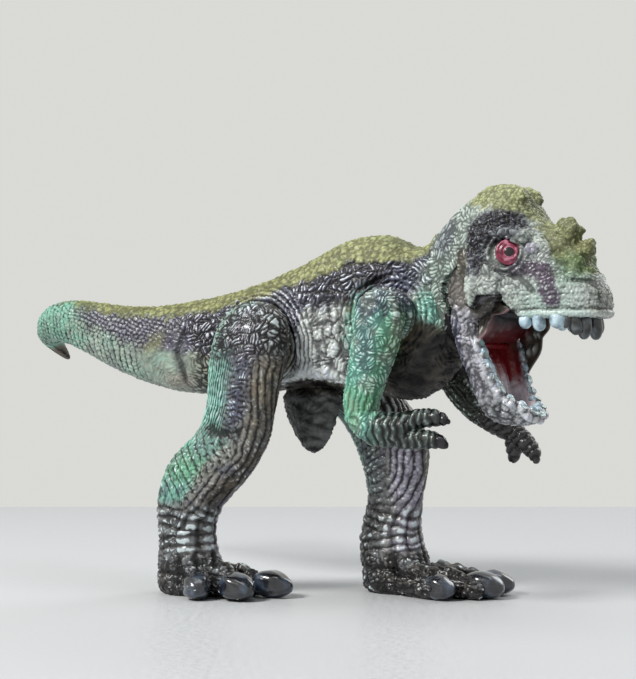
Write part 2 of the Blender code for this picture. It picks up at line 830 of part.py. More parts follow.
def build_arm(name, side, path_shares, finger_shares, parts, tools):
    shoulder = moved(shoulder_forward, 0, shoulder_height)
    points = []
    sizes = []
    for forward, outward, up, thickness in path_shares:
        points.append(Vector((forward * arm_reach, side * (arm_side + outward * arm_reach),
                              up * arm_reach)))
        half = thickness * arm_half_width
        sizes.append((min(half, arm_half_width), half))
    arm = tube(name, points, sizes, limb_sides, parts, 1)
    arm.matrix_world = shoulder
    add(arm, drum(name + "_shoulder", shoulder_radius, side * (shoulder_seat + running_gap),
                  side * (arm_side - shoulder_cap), shoulder, tools))
    add(arm, drum(name + "_plug", arm_plug_radius,
                  side * (shoulder_seat - arm_plug_length + running_gap), side * arm_side,
                  shoulder, tools, 16))
    for index, (forward, outward, up, pitch, length) in enumerate(finger_shares):
        start = moved(forward * arm_reach, side * (arm_side + outward * arm_reach), up * arm_reach)
        aim = start @ turned(-math.radians(pitch), "Y")
        reach = length * finger_length
        line = [Vector((along * reach, 0, drop * reach)) for along, drop, _ in finger_profile_shares]
        radii = [(radius * finger_radius, radius * finger_radius)
                 for _, _, radius in finger_profile_shares]
        finger = tube(name + "_finger_%d" % index, line, radii, finger_sides, tools, 1)
        finger.matrix_world = shoulder @ aim
        add(arm, finger)
    return arm


def build_leg(name, side, leg_shares, toe_shares, parts, tools):
    hip = moved(0, 0, hip_height)
    rings = []
    for height, forward, half_depth, half_width, outward in reversed(leg_shares):
        middle = Vector((forward * leg_depth, side * (leg_side + outward * leg_half_width),
                         (height - 1) * hip_height))
        shape = oval(half_width * leg_half_width, half_depth * leg_depth, 2.2, 2.2, limb_sides)
        rings.append([middle + Vector((point.z, point.y, 0)) for point in shape])
    leg = cage(name, rings, parts, 1)
    leg.matrix_world = hip
    add(leg, drum(name + "_hip", hip_radius, side * (hip_seat + running_gap),
                  side * (leg_side - hip_cap), hip, tools, 28))
    add(leg, drum(name + "_plug", leg_plug_radius, side * (hip_seat - leg_plug_length + running_gap),
                  side * leg_side, hip, tools))
    for index, toe in enumerate(toe_shares):
        add(leg, build_toe(name + "_toe_%d" % index, side, toe, tools))
    reach = torso_length
    below = -hip_height - 2 * cut_overrun
    ground = [(-reach, below), (reach, below), (reach, -hip_height), (-reach, -hip_height)]
    cut(leg, slab(name + "_ground", ground, reach, hip, tools))
    return leg


def build_toe(name, side, toe, tools):
    forward, outward, heading, length, thickness = toe
    start = moved(forward * leg_depth, side * (leg_side + outward * leg_half_width), 0)
    aim = start @ turned(side * math.radians(heading), "Z")
    line = []
    radii = []
    for along, height, radius in toe_profile_shares:
        line.append(Vector((along * length * toe_length, 0, height * thickness * toe_radius)))
        half = radius * thickness * toe_radius
        radii.append((half, half))
    made = tube(name, line, radii, digit_sides, tools, 1)
    made.matrix_world = aim
    return made


def stand_on_origin(root, parts):
    """Puts the middle of the soles' plane under the figure at the world's origin."""
    bpy.context.view_layer.update()
    graph = bpy.context.evaluated_depsgraph_get()
    corners = []
    for thing in parts.objects:
        seen = thing.evaluated_get(graph)
        corners += [seen.matrix_world @ vert.co for vert in seen.to_mesh().vertices]
        seen.to_mesh_clear()
    middle = [(min(c[axis] for c in corners) + max(c[axis] for c in corners)) / 2 for axis in (0, 1)]
    root.location = (-middle[0], -middle[1], -min(c.z for c in corners))
    bpy.context.view_layer.update()


def main():
    empty_scene()
    parts = new_collection("toy_dinosaur_figure")
    tools = new_collection("cutters")
    build_torso(parts, tools)
    build_tail(parts, tools)
    build_head(parts, tools)
    build_lower_jaw(parts, tools)
    build_tongue(parts)
    build_jaw_pin(parts)
    build_arm("right_arm", -1, right_arm_shares, right_finger_shares, parts, tools)
    build_arm("left_arm", 1, left_arm_shares, left_finger_shares, parts, tools)
    build_leg("right_leg", -1, right_leg_shares, right_toe_shares, parts, tools)
    build_leg("left_leg", 1, left_leg_shares, left_toe_shares, parts, tools)
    root = bpy.data.objects.new("figure", None)
    bpy.context.scene.collection.objects.link(root)
    for thing in parts.objects:
        paint(thing)
        thing.parent = root
    stand_on_origin(root, parts)


main()
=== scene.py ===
import math

import bmesh
import bpy
import numpy as np
from mathutils import Matrix, Vector, noise
from mathutils.bvhtree import BVHTree


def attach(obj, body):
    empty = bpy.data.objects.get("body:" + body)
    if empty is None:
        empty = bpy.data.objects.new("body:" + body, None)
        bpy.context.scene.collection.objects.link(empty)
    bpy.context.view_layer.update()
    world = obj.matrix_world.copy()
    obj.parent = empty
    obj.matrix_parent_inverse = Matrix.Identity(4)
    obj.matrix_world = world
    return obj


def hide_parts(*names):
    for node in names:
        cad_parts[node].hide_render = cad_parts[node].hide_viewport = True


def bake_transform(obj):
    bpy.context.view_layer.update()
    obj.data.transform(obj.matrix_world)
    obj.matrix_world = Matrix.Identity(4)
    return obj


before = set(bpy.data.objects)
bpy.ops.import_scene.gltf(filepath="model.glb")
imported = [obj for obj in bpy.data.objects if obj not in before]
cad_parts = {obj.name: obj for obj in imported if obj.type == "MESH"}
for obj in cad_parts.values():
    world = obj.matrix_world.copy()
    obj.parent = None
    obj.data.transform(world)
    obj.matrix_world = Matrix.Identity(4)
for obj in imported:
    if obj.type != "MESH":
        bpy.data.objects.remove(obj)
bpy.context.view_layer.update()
mm = 0.001

# vinyl and paint colours; some are also laid as painted shade and painted highlight
palette = {
    "khaki": (0.15, 0.135, 0.06), "tan": (0.20, 0.165, 0.11),
    "mint": (0.18, 0.47, 0.37), "leaf": (0.13, 0.36, 0.15), "sea": (0.20, 0.40, 0.36),
    "indigo": (0.075, 0.08, 0.135), "plum": (0.075, 0.05, 0.085), "olive": (0.35, 0.37, 0.17),
    "moss": (0.27, 0.28, 0.11), "fog": (0.36, 0.42, 0.36), "lavender": (0.30, 0.28, 0.36),
    "blackAndShade": (0.022, 0.02, 0.02), "umber": (0.075, 0.055, 0.035), "slate": (0.13, 0.14, 0.15),
    "blush": (0.42, 0.30, 0.25), "blood": (0.20, 0.008, 0.012), "ink": (0.008, 0.007, 0.010),
    "aqua": (0.28, 0.48, 0.45), "stone": (0.25, 0.245, 0.22), "chalk": (0.60, 0.64, 0.62),
    "rose": (0.60, 0.36, 0.38), "bark": (0.11, 0.095, 0.07),
    "pearl": (0.85, 0.80, 0.86), "pine": (0.09, 0.27, 0.18),
}


# ---- reliefs and masks, in mm ----

def ease(low, high, value):
    share = np.clip((value - low) / (high - low), 0, 1)
    return share * share * (3 - 2 * share)


def fade(low, high, value):
    return 1 - ease(low, high, value)


def bell(away, width):
    return np.exp(-(away / width) ** 2)


def blob(points, centre, reach, edge=0.35):
    away = np.linalg.norm((points - np.array(centre)) / np.array(reach), axis=1)
    return fade(1 - edge, 1 + edge, away)


def lineAt(value, line):
    return np.interp(value, *zip(*line))


def mirrored(points):
    return points * (1, 0, 1) + np.abs(points) * (0, 1, 0)


def noiseAt(points, size, seed):
    return np.array([noise.noise(p) for p in (points / size + seed).tolist()])


def wanderAt(points, size, reach, seed):
    return points + reach * np.stack([noiseAt(points, size, seed + k) for k in (0, 11, 23)], axis=1)


def pebblesAt(points, size, seed):
    found = np.array([noise.voronoi(p)[0][:2] for p in (points / size + seed).tolist()])
    return 1 - (found[:, 0] / found[:, 1]) ** 2


def ridgesAt(value, pitch, sharp=3):
    """Broad ridges with narrow grooves between them."""
    return 1 - np.abs(2 * ((value / pitch) % 1) - 1) ** sharp


def tilesAt(across, along, width, tall, sharp=4):
    """Rounded raised tiles in staggered rows."""
    row = np.floor(along / tall)
    shift = 0.5 * (row % 2) + 0.3 * np.sin(row * 12.9)
    return ridgesAt(across / width + shift, 1, sharp) * ridgesAt(along, tall, sharp)


def weaveAt(points, across, along, patch, pitch, seed):
    """Short parallel ridges whose direction turns from patch to patch."""
    found = [noise.voronoi(p) for p in (points / patch + seed).tolist()]
    edge = ease(0.02, 0.20, np.array([gaps[1] - gaps[0] for gaps, _ in found]))
    turn = 6.5 * np.array([noise.noise(spots[0] * 5.3) for _, spots in found])
    bend = 0.5 * noiseAt(points, patch * 0.7, seed + 5) + 0.3 * noiseAt(points, pitch * 1.15, seed + 9)
    phase = (across * np.cos(turn) + along * np.sin(turn)) / pitch + bend
    cut = ease(-0.42, -0.12, noiseAt(points, pitch * 1.5, seed + 13))
    return ridgesAt(phase, 1, 2.1) * (0.25 + 0.75 * edge) * (0.5 + 0.5 * cut)


# ---- skins cut from the CAD solids ----

def newObject(name, mesh):
    thing = bpy.data.objects.new(name, mesh)
    bpy.context.scene.collection.objects.link(thing)
    return thing


def meshFrom(shape, name):
    mesh = bpy.data.meshes.new(name)
    shape.to_mesh(mesh)
    shape.free()
    return mesh


def readVertices(mesh, key="co"):
    values = np.empty(len(mesh.vertices) * 3)
    mesh.vertices.foreach_get(key, values)
    return values.reshape(-1, 3)


def writeVertices(mesh, points):
    mesh.vertices.foreach_set("co", points.ravel())
    mesh.update()


def relax(mesh, rounds):
    points = readVertices(mesh)
    count = len(points)
    edges = np.empty(len(mesh.edges) * 2, dtype=np.int64)
    mesh.edges.foreach_get("vertices", edges)
    a, b = edges.reshape(-1, 2).T
    ties = np.bincount(a, minlength=count) + np.bincount(b, minlength=count)
    for _ in range(rounds):
        for pull in (0.55, -0.57):
            total = np.stack([np.bincount(a, points[b, k], count) + np.bincount(b, points[a, k], count)
                              for k in range(3)], axis=1)
            points = points + pull * (total / ties[:, None] - points)
    writeVertices(mesh, points)


def largestShell(mesh):
    """Drops what the remesh leaves inside a moulding."""
    links = [[] for _ in mesh.vertices]
    for edge in mesh.edges:
        a, b = edge.vertices
        links[a].append(b)
        links[b].append(a)
    shell = np.full(len(links), -1)
    for start in range(len(links)):
        if shell[start] < 0:
            shell[start] = start
            waiting = [start]
            while waiting:
                for other in links[waiting.pop()]:
                    if shell[other] < 0:
                        shell[other] = start
                        waiting.append(other)
    kept = np.bincount(shell).argmax()
    if (shell != kept).any():
        shape = bmesh.new()
        shape.from_mesh(mesh)
        bmesh.ops.delete(shape, geom=[v for v in shape.verts if shell[v.index] != kept], context="VERTS")
        shape.to_mesh(mesh)
        shape.free()


def evenSkin(nodes, name, voxel, rounds):
    """One even skin round one or more CAD solids, which stay as they are."""
    shape = bmesh.new()
    for each in nodes:
        shape.from_mesh(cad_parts[each].data)
    bmesh.ops.remove_doubles(shape, verts=shape.verts, dist=0.004 * mm)
    thing = newObject(name, meshFrom(shape, name))
    remesh = thing.modifiers.new("Even skin", "REMESH")
    remesh.mode = "VOXEL"
    remesh.voxel_size = voxel * mm
    bpy.context.view_layer.update()
    even = bpy.data.meshes.new_from_object(thing.evaluated_get(bpy.context.evaluated_depsgraph_get()))
    thing.modifiers.clear()
    thing.data = even
    even.name = name
    largestShell(even)
    relax(even, rounds)
    even.shade_smooth()
    return thing


def gapsTo(points, others, axis=(0, 0), turn=0, reach=1.6):
    """Distance, up to a reach, from each point to the named CAD pieces, swung about an axis along Y."""
    centre = Vector((axis[0], 0, axis[1])) * mm
    swing = Matrix.Translation(centre) @ Matrix.Rotation(math.radians(turn), 4, "Y") @ Matrix.Translation(-centre)
    corners, faces = [], []
    for other in others:
        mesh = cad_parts[other].data
        start = len(corners)
        corners += [swing @ v.co for v in mesh.vertices]
        faces += [[start + i for i in p.vertices] for p in mesh.polygons]
    tree = BVHTree.FromPolygons(corners, faces)
    found = [tree.find_nearest(p, reach * mm)[3] for p in (points * mm).tolist()]
    return np.array([reach if gap is None else gap / mm for gap in found])


def storeLayers(thing, colour, relief, wash, brush, gloss):
    layer = thing.data.attributes.new("spray", "FLOAT_COLOR", "POINT")
    rgba = np.concatenate([np.clip(colour, 0, 1), np.ones((len(colour), 1))], axis=1)
    layer.data.foreach_set("color", rgba.astype(np.float32).ravel())
    for name, values in (("relief", relief), ("wash", wash), ("brush", brush), ("gloss", gloss)):
        layer = thing.data.attributes.new(name, "FLOAT", "POINT")
        values = np.clip(values, 0, 1) * np.ones(len(colour))
        layer.data.foreach_set("value", values.astype(np.float32))


class Skin:
    """The relief, the height in mm and the coats of paint of one moulding."""

    def __init__(self, nodes, name, voxel, rounds, base):
        self.thing = evenSkin(nodes, name, voxel, rounds)
        self.others = [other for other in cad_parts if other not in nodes]
        self.swings = []  # neighbour, axis and degrees of a limit that needs room
        self.points = readVertices(self.thing.data) / mm
        self.normals = readVertices(self.thing.data, "normal")
        count = len(self.points)
        self.relief = np.full(count, 0.55)
        self.height = np.zeros(count)
        self.colour = np.tile(np.array(palette[base]), (count, 1))
        self.speckle = noiseAt(self.points, 1.3, 77) + 0.6 * noiseAt(self.points, 0.6, 71)
        print("stage:", name, len(self.thing.data.polygons))

    def press(self, mask, pattern, tall):
        pattern = np.clip(pattern, 0, 1)
        self.relief = self.relief * (1 - mask) + pattern * mask
        self.height += mask * (pattern - 0.5) * tall

    def lift(self, mask, tall, pale=0):
        """Lifts a form, or cuts a groove where tall is below zero."""
        self.height = self.height + mask * tall
        self.relief = np.clip(self.relief + mask * pale, 0, 1)

    def lay(self, tint, mask, strength=1):
        mask = np.clip(mask + 2.4 * self.speckle * mask * (1 - mask), 0, 1)
        share = np.clip(mask * strength, 0, 1)[:, None]
        self.colour = self.colour * (1 - share) + np.array(palette[tint]) * share

    def join(self, other):
        """Brings the skin out to a fixed neighbour, so that no groove shows between them."""
        self.others.remove(other)
        self.height = self.height + 0.45 * fade(0.3, 1.5, gapsTo(self.points, [other]))

    def carve(self, share=1):
        """Moves the points by the height, and leaves room for the neighbours."""
        room = ease(0.4, 1.5, gapsTo(self.points, self.others))
        for other, axis, turn in self.swings:
            room = np.minimum(room, ease(0.5, 1.4, gapsTo(self.points, [other], axis, turn)))
        moved = self.points + self.normals * (self.height * share * room)[:, None]
        moved[:, 2] = np.maximum(moved[:, 2], 0.02)
        writeVertices(self.thing.data, moved * mm)

    def shift(self, reach, way):
        """Moves points by a reach along one direction."""
        moved = readVertices(self.thing.data) / mm + reach[:, None] * np.array(way)
        writeVertices(self.thing.data, moved * mm)

    def store(self, wash, brush, gloss):
        storeLayers(self.thing, self.colour, self.relief, wash, brush, gloss)


def splitSkin(thing, spot, facing, names):
    """Cuts one carved skin into two closed pieces at a seam between mouldings."""
    pieces = []
    for name, front in zip(names, (True, False)):
        shape = bmesh.new()
        shape.from_mesh(thing.data)
        bmesh.ops.bisect_plane(shape, geom=shape.verts[:] + shape.edges[:] + shape.faces[:], plane_co=spot,
                               plane_no=facing, clear_inner=front, clear_outer=not front)
        rim = [edge for edge in shape.edges if edge.is_boundary]
        for edge in rim:
            edge.smooth = False
        bmesh.ops.holes_fill(shape, edges=rim, sides=0)
        pieces.append(newObject(name, meshFrom(shape, name)))
    bpy.data.objects.remove(thing)
    return pieces


# ---- materials ----

def feed(tree, made, fed):
    """Gives a node's inputs a value or links them to a socket."""
    for key, value in fed.items():
        if isinstance(value, bpy.types.NodeSocket):
            tree.links.new(value, made.inputs[key])
        else:
            made.inputs[key].default_value = value


def node(tree, kind, fed=None, **values):
    made = tree.nodes.new(kind)
    for key, value in values.items():
        setattr(made, key, value)
    feed(tree, made, fed or {})
    return made


def reckon(tree, operation, *fed, **values):
    return node(tree, "ShaderNodeMath", dict(enumerate(fed)), operation=operation, **values).outputs[0]


def carried(tree, value, low, high, start, end, kind="LINEAR"):
    """A value carried from one range into another."""
    fed = {"Value": value, 1: low, 2: high, 3: start, 4: end}
    return node(tree, "ShaderNodeMapRange", fed, interpolation_type=kind).outputs["Result"]


def mixed(tree, share, first, second, blend="MIX"):
    fed = {"Factor": share, "A": first, "B": second}
    return node(tree, "ShaderNodeMix", fed, data_type="RGBA", blend_type=blend).outputs["Result"]


def buildPaintGroup():
    group = bpy.data.node_groups.new("washShadeAndHighlightPaint", "ShaderNodeTree")
    for name, start in (("Spray", (0.3, 0.3, 0.2, 1)), ("Relief", 0.5), ("Wash", 0.8), ("Brush", 0.5), ("Gloss", 0.4),
                        ("Pale", (0.7, 0.74, 0.72, 1)), ("Deep", (0.05, 0.045, 0.05, 1)), ("Grain", 900)):
        kind = "NodeSocketColor" if isinstance(start, tuple) else "NodeSocketFloat"
        group.interface.new_socket(name=name, in_out="INPUT", socket_type=kind).default_value = start
    for name, kind in (("Color", "NodeSocketColor"), ("Roughness", "NodeSocketFloat"), ("Height", "NodeSocketFloat")):
        group.interface.new_socket(name=name, in_out="OUTPUT", socket_type=kind)
    given = node(group, "NodeGroupInput").outputs
    where = node(group, "ShaderNodeTexCoord").outputs["Object"]
    grain = node(group, "ShaderNodeTexNoise",
                 {"Vector": where, "Scale": given["Grain"], "Detail": 3, "Roughness": 0.6}).outputs["Fac"]
    mottle = node(group, "ShaderNodeTexNoise", {"Vector": where, "Scale": 160, "Detail": 4}).outputs["Fac"]
    uneven = reckon(group, "MULTIPLY_ADD", grain, 0.55, given["Relief"])  # relief broken up by the grain
    # the wash darkens the folds and the brush paints pale ridge tips: real wash and dry-brush, set dark and pale
    # enough to be partly painted shade and painted highlight
    washAndShade = reckon(group, "MULTIPLY", carried(group, uneven, 0.56, 1.08, 1, 0, "SMOOTHSTEP"), given["Wash"])
    brushAndHighlight = reckon(group, "MULTIPLY", carried(group, uneven, 1.08, 1.28, 0, 1, "SMOOTHSTEP"), given["Brush"])
    tone = carried(group, mottle, 0.3, 0.7, 0.78, 1.25)  # uneven spray
    spray = node(group, "ShaderNodeVectorMath", {0: given["Spray"], "Scale": tone}, operation="SCALE").outputs[0]
    dark = mixed(group, washAndShade, spray, mixed(group, 1, spray, given["Deep"], "MULTIPLY"))
    tips = mixed(group, brushAndHighlight, dark, given["Pale"])
    rough = reckon(group, "MULTIPLY_ADD", grain, 0.14, carried(group, given["Gloss"], 0, 1, 0.58, 0.16))
    node(group, "NodeGroupOutput", {"Color": tips, "Roughness": rough, "Height": grain})
    return group


paintGroup = buildPaintGroup()


def newMaterial(name):
    material = bpy.data.materials.new(name)
    material.use_nodes = True
    return material, material.node_tree, material.node_tree.nodes["Principled BSDF"]


def vinyl(name, pale, bump=0.08, coat=0.5):
    """Painted vinyl: sprayed colour, a dark wash in the folds and dry-brush on the ridges, partly real paint and
    partly painted shade and painted highlight.
    """
    material, tree, shader = newMaterial(name)
    spray = node(tree, "ShaderNodeAttribute", attribute_name="spray").outputs["Color"]
    layers = {mask: node(tree, "ShaderNodeAttribute", attribute_name=mask).outputs["Fac"]
              for mask in ("relief", "wash", "brush", "gloss")}
    fed = {"Pale": (*pale, 1), "Spray": spray, **{mask.capitalize(): layer for mask, layer in layers.items()}}
    paint = node(tree, "ShaderNodeGroup", fed, node_tree=paintGroup).outputs
    rise = node(tree, "ShaderNodeBump", {"Distance": bump * mm, "Strength": 1, "Height": paint["Height"]})
    shine = reckon(tree, "MULTIPLY", layers["gloss"], layers["relief"])  # the coat stays out of the folds
    feed(tree, shader, {"Base Color": paint["Color"], "Roughness": paint["Roughness"],
                        "Normal": rise.outputs["Normal"],
                        "Coat Weight": reckon(tree, "MULTIPLY", shine, coat * 1.5, use_clamp=True),
                        "Coat Roughness": 0.16, "Specular IOR Level": 0.3})
    return material


def tones(name, colours, scale, rough, bump, coat, stretch=(1, 1, 1)):
    """Two or three tones through a noise, with bump from the same noise."""
    material, tree, shader = newMaterial(name)
    where = node(tree, "ShaderNodeTexCoord").outputs["Object"]
    where = node(tree, "ShaderNodeMapping", {"Vector": where, "Scale": stretch}).outputs["Vector"]
    tone = node(tree, "ShaderNodeTexNoise", {"Vector": where, "Scale": scale, "Detail": 5}).outputs["Fac"]
    ramp = node(tree, "ShaderNodeValToRGB", {"Fac": tone})
    spots = ramp.color_ramp.elements
    spots[0].position, spots[1].position = 0.32, 0.68
    spots[0].color, spots[1].color = (*colours[0], 1), (*colours[-1], 1)
    if len(colours) == 3:
        spots.new(0.5).color = (*colours[1], 1)
    rise = node(tree, "ShaderNodeBump", {"Distance": bump * mm, "Height": tone})
    feed(tree, shader, {"Base Color": ramp.outputs["Color"], "Normal": rise.outputs["Normal"],
                        "Roughness": carried(tree, tone, 0.3, 0.7, rough * 0.7, rough * 1.3),
                        "Coat Weight": coat, "Coat Roughness": 0.12})
    return material


def dress(thing, material):
    thing.data.materials.clear()
    thing.data.materials.append(material)


def place(thing, material, body, replaced):
    dress(thing, material)
    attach(thing, body)
    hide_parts(replaced)


print("stage: reliefs and materials ready")


# ---- where things are on the figure, in mm ----

neckMiddle = np.array((52.855, 0.015, 81.7))
headTurn = math.radians(-12)
jawHinge = np.array((13.5, 0, -0.85))
gape = math.radians(63.5)
hip = (-0.145, 68)
shoulder = (39.33, 75)
backLine = ((-97, 83), (-72, 81.4), (-55, 78.3), (-36.6, 76.2), (-16, 77.3), (-7, 80), (3, 82.2),
            (12, 84), (21, 87), (27, 89), (42, 89.2), (50, 92), (60, 99))


def headSpace(points):
    """Turns world points into the head's own frame, from the middle of the neck joint."""
    away = points - neckMiddle
    c, s = math.cos(headTurn), math.sin(headTurn)
    return np.stack([c * away[:, 0] + s * away[:, 1], -s * away[:, 0] + c * away[:, 1], away[:, 2]], axis=1)


def jawSpace(points):
    away = headSpace(points) - jawHinge
    c, s = math.cos(gape), math.sin(gape)
    return np.stack([c * away[:, 0] - s * away[:, 2], away[:, 1], s * away[:, 0] + c * away[:, 2]], axis=1)


def fromHead(point):
    x, y, z = point
    c, s = math.cos(headTurn), math.sin(headTurn)
    return Vector((neckMiddle[0] + c * x - s * y, neckMiddle[1] + s * x + c * y, neckMiddle[2] + z))


def headDirection(x, y, z):
    return (fromHead((x, y, z)) - fromHead((0, 0, 0))).normalized()


jawForward = headDirection(math.cos(gape), 0, -math.sin(gape))
jawUp = headDirection(math.sin(gape), 0, math.cos(gape))
jawLeft = headDirection(0, 1, 0)
hingeAt = fromHead(jawHinge)


# ---- body and tail ----

bodySet = {
    "voxel": 0.29, "relaxing": 12, "tailSeam": -31,
    "weavePatch": 2.9, "weavePitch": 1.12, "weaveHeight": 0.6,
    "pebbleSize": 1.2, "humpSize": 2.2, "humpHeight": 0.6,
    "ribHeight": 1, "rowPitch": 1.15, "rowHeight": 0.36, "ringPitch": 2.1, "arcPitch": 1.35, "arcHeight": 0.55,
    "foldHeight": 1.2,
    # where the colours meet, length along the body by height
    "bellyLine": ((-30, 54), (-18, 55.5), (2, 55.5), (8, 57.5), (13, 58.5), (19, 58), (25, 56.8), (30, 56.5),
                  (36, 59), (40, 62), (46, 66), (60, 73)),
    "chestLine": ((36, 66), (42, 72), (48, 73.5), (54, 71), (60, 72)),
    "darkLine": ((-75, 80), (-66, 76), (-50, 71), (-35, 67), (-18, 66), (-5, 64), (6, 63), (12, 66), (14, 77),
                 (27, 79), (33, 77), (37, 76), (42, 79), (52, 84), (60, 88)),
}


def weaveOnFlank(points, pitch=None):
    """The net of short ridges that runs over the flank, shoulder and neck."""
    bent = wanderAt(points, 6, 0.8, 2)
    return weaveAt(bent, bent[:, 0], bent[:, 2] + 0.3 * np.abs(bent[:, 1]), bodySet["weavePatch"],
                   pitch or bodySet["weavePitch"], 1)


def dressBody():
    skin = Skin(("torso", "tail"), "bodySkin", bodySet["voxel"], bodySet["relaxing"], "khaki")
    lay, press, lift = skin.lay, skin.press, skin.lift
    points = skin.points
    flat = mirrored(points)
    x, side, z = flat.T
    ragged = noiseAt(points, 3.2, 5) * 1.6 + noiseAt(points, 1.2, 8) * 0.9
    back = ease(-1, 1.4, z - lineAt(x, backLine) + ragged)
    darkLine = lineAt(x, bodySet["darkLine"])
    dark = ease(-2.4, 2.4, z - darkLine + ragged) * (1 - back) * ease(-74, -60, x)
    flankOn = ease(-30, -22, x)
    rib = blob(flat, (20.5, 12, 69), (9.5, 12, 12), 0.25) * ease(3, 6, side)
    tailEnd = fade(-78, -58, x + ragged * 2)
    tailTip = ease(19.5, 22, points[:, 1]) * fade(-84, -78, x) * fade(69, 71, z)
    tailUnder = (1 - flankOn) * (1 - back) * (1 - dark)
    tailBase = blob(flat, (-31, 9, 63), (10, 10, 9), 0.35)
    foldLine = lineAt(x, ((2, 56.8), (8, 59.2), (13, 60.6), (19, 60), (25, 58.4), (31, 56)))
    foldOn = ease(-1, 4, x) * fade(30, 34, x) * ease(4, 8, side)
    fold = bell(z - foldLine, 1.7) * foldOn
    pleat = bell(z - foldLine + 2.9, 1) * foldOn
    belly = fade(-1, 1.2, z - lineAt(x, bodySet["bellyLine"]))
    chest = ease(36, 40, x) * fade(-1.5, 1.5, ragged * 0.5 + z - lineAt(x, bodySet["chestLine"]))
    neck = ease(40, 46, x) * (1 - chest) * (1 - back)
    keel = fade(53.5, 55.5, z) * ease(-2, 2, x) * fade(30, 34, x) * (
        1 - ease(6, 7, side))
    hipGap = np.hypot(x - hip[0], z - hip[1])
    hipAngle = np.degrees(np.arctan2(z - hip[1], x - hip[0]))
    arc = (ease(10.8, 11.5, hipGap) * fade(16, 19, hipGap) * ease(-40, -10, hipAngle)
           * fade(125, 160, hipAngle) * ease(5, 8, side))
    shoulderGap = np.hypot(x - shoulder[0], z - shoulder[1])
    ring = ease(7, 8, shoulderGap) * fade(10, 13, shoulderGap) * ease(6, 9, side)

    pebbles = pebblesAt(points, bodySet["pebbleSize"], 3)
    hump = pebblesAt(points, bodySet["humpSize"], 7)
    fine = pebblesAt(points, 0.95, 17)
    weave = weaveOnFlank(points)
    finer = weaveOnFlank(points, 0.9)
    lumps = pebblesAt(wanderAt(points, 5, 1.4, 9) * (1, 0.6, 0.55), 2.7, 41)
    wavy = wanderAt(points, 7, 0.9, 4)
    loose = 0.45 * noiseAt(points, 1.7, 61)
    rows = tilesAt(wavy[:, 0] + loose, wavy[:, 2] + 0.28 * wavy[:, 0] + loose, 1.7, bodySet["rowPitch"])
    rings = ridgesAt(wavy[:, 0] + 0.1 * wavy[:, 2] + loose, bodySet["ringPitch"], 4) * (
        0.6 + 0.4 * ridgesAt(wavy[:, 2] + 0.28 * wavy[:, 0] + loose, 1.3))

    press(np.ones(len(points)), weave, bodySet["weaveHeight"] * 0.5)
    press(dark * flankOn, weave, bodySet["weaveHeight"])
    press(neck, finer, 0.42)
    press(dark * (1 - flankOn), rows, bodySet["rowHeight"])
    press(rib, np.clip(0.75 * lumps + 0.35 * weave, 0, 1), bodySet["ribHeight"])
    under = tailUnder * (1 - tailBase)
    upper = ease(-1, 2, z - lineAt(x, ((-75, 74), (-60, 71), (-45, 67.5), (-30, 64))))
    press(under * upper, rows, bodySet["rowHeight"])
    press(under * (1 - upper), 0.75 * rings + 0.3 * fine, bodySet["rowHeight"])
    press(tailEnd * (1 - back), 0.7 * rings + 0.3 * rows, bodySet["rowHeight"] * 0.8)
    press(tailBase * 0.85, 0.7 + 0.25 * noiseAt(points, 2.2, 6), 0.2)
    press(back, 0.5 * hump + 0.4 * pebbles + 0.15 * fine, bodySet["humpHeight"])
    press(arc * 0.9, ridgesAt(hipGap + 0.6 * noiseAt(points, 5, 2), bodySet["arcPitch"], 2),
               bodySet["arcHeight"])
    press(ring * 0.7, ridgesAt(shoulderGap + 0.8 * noiseAt(points, 4, 2), 1.5, 2), 0.5)
    press(np.clip(chest + belly, 0, 1) * (1 - fold), 0.55 + 0.6 * noiseAt(points * (1, 1, 1.6), 3, 12), 0.4)
    press(keel * 0.35, ridgesAt(z + 0.3 * x + 2.5 * noiseAt(points, 6, 3), 3.6, 2), 0.3)

    lift(fold, bodySet["foldHeight"], 0.45)
    lift(pleat, -0.8, -0.6)
    crescent = bell(shoulderGap - 10.2, 0.9) * ease(80, 84, z) * (
        1 - ease(36, 40, x)) * ease(4, 8, side)
    lift(crescent, -1, -1)
    crease = bell(x + 26 + 0.8 * np.sin(z * 0.5), 0.8) * ease(56, 60, z) * (
        1 - ease(70, 74, z)) * ease(3, 6, side)
    lift(crease, -0.7, -0.6)
    lift(blob(flat, (-2, 11, 76), (15, 9, 7), 0.6), 0.6)
    lift(blob(flat, (33, 10, 84), (8, 6, 7), 0.6), 0.6)
    lift(back * blob(flat, (22, 0, 92), (22, 9, 6), 0.6), 0.7)
    skin.join("head")
    skin.swings = [("left_leg", hip, 30), ("right_leg", hip, 30)]
    skin.carve(1 - 0.85 * tailTip)

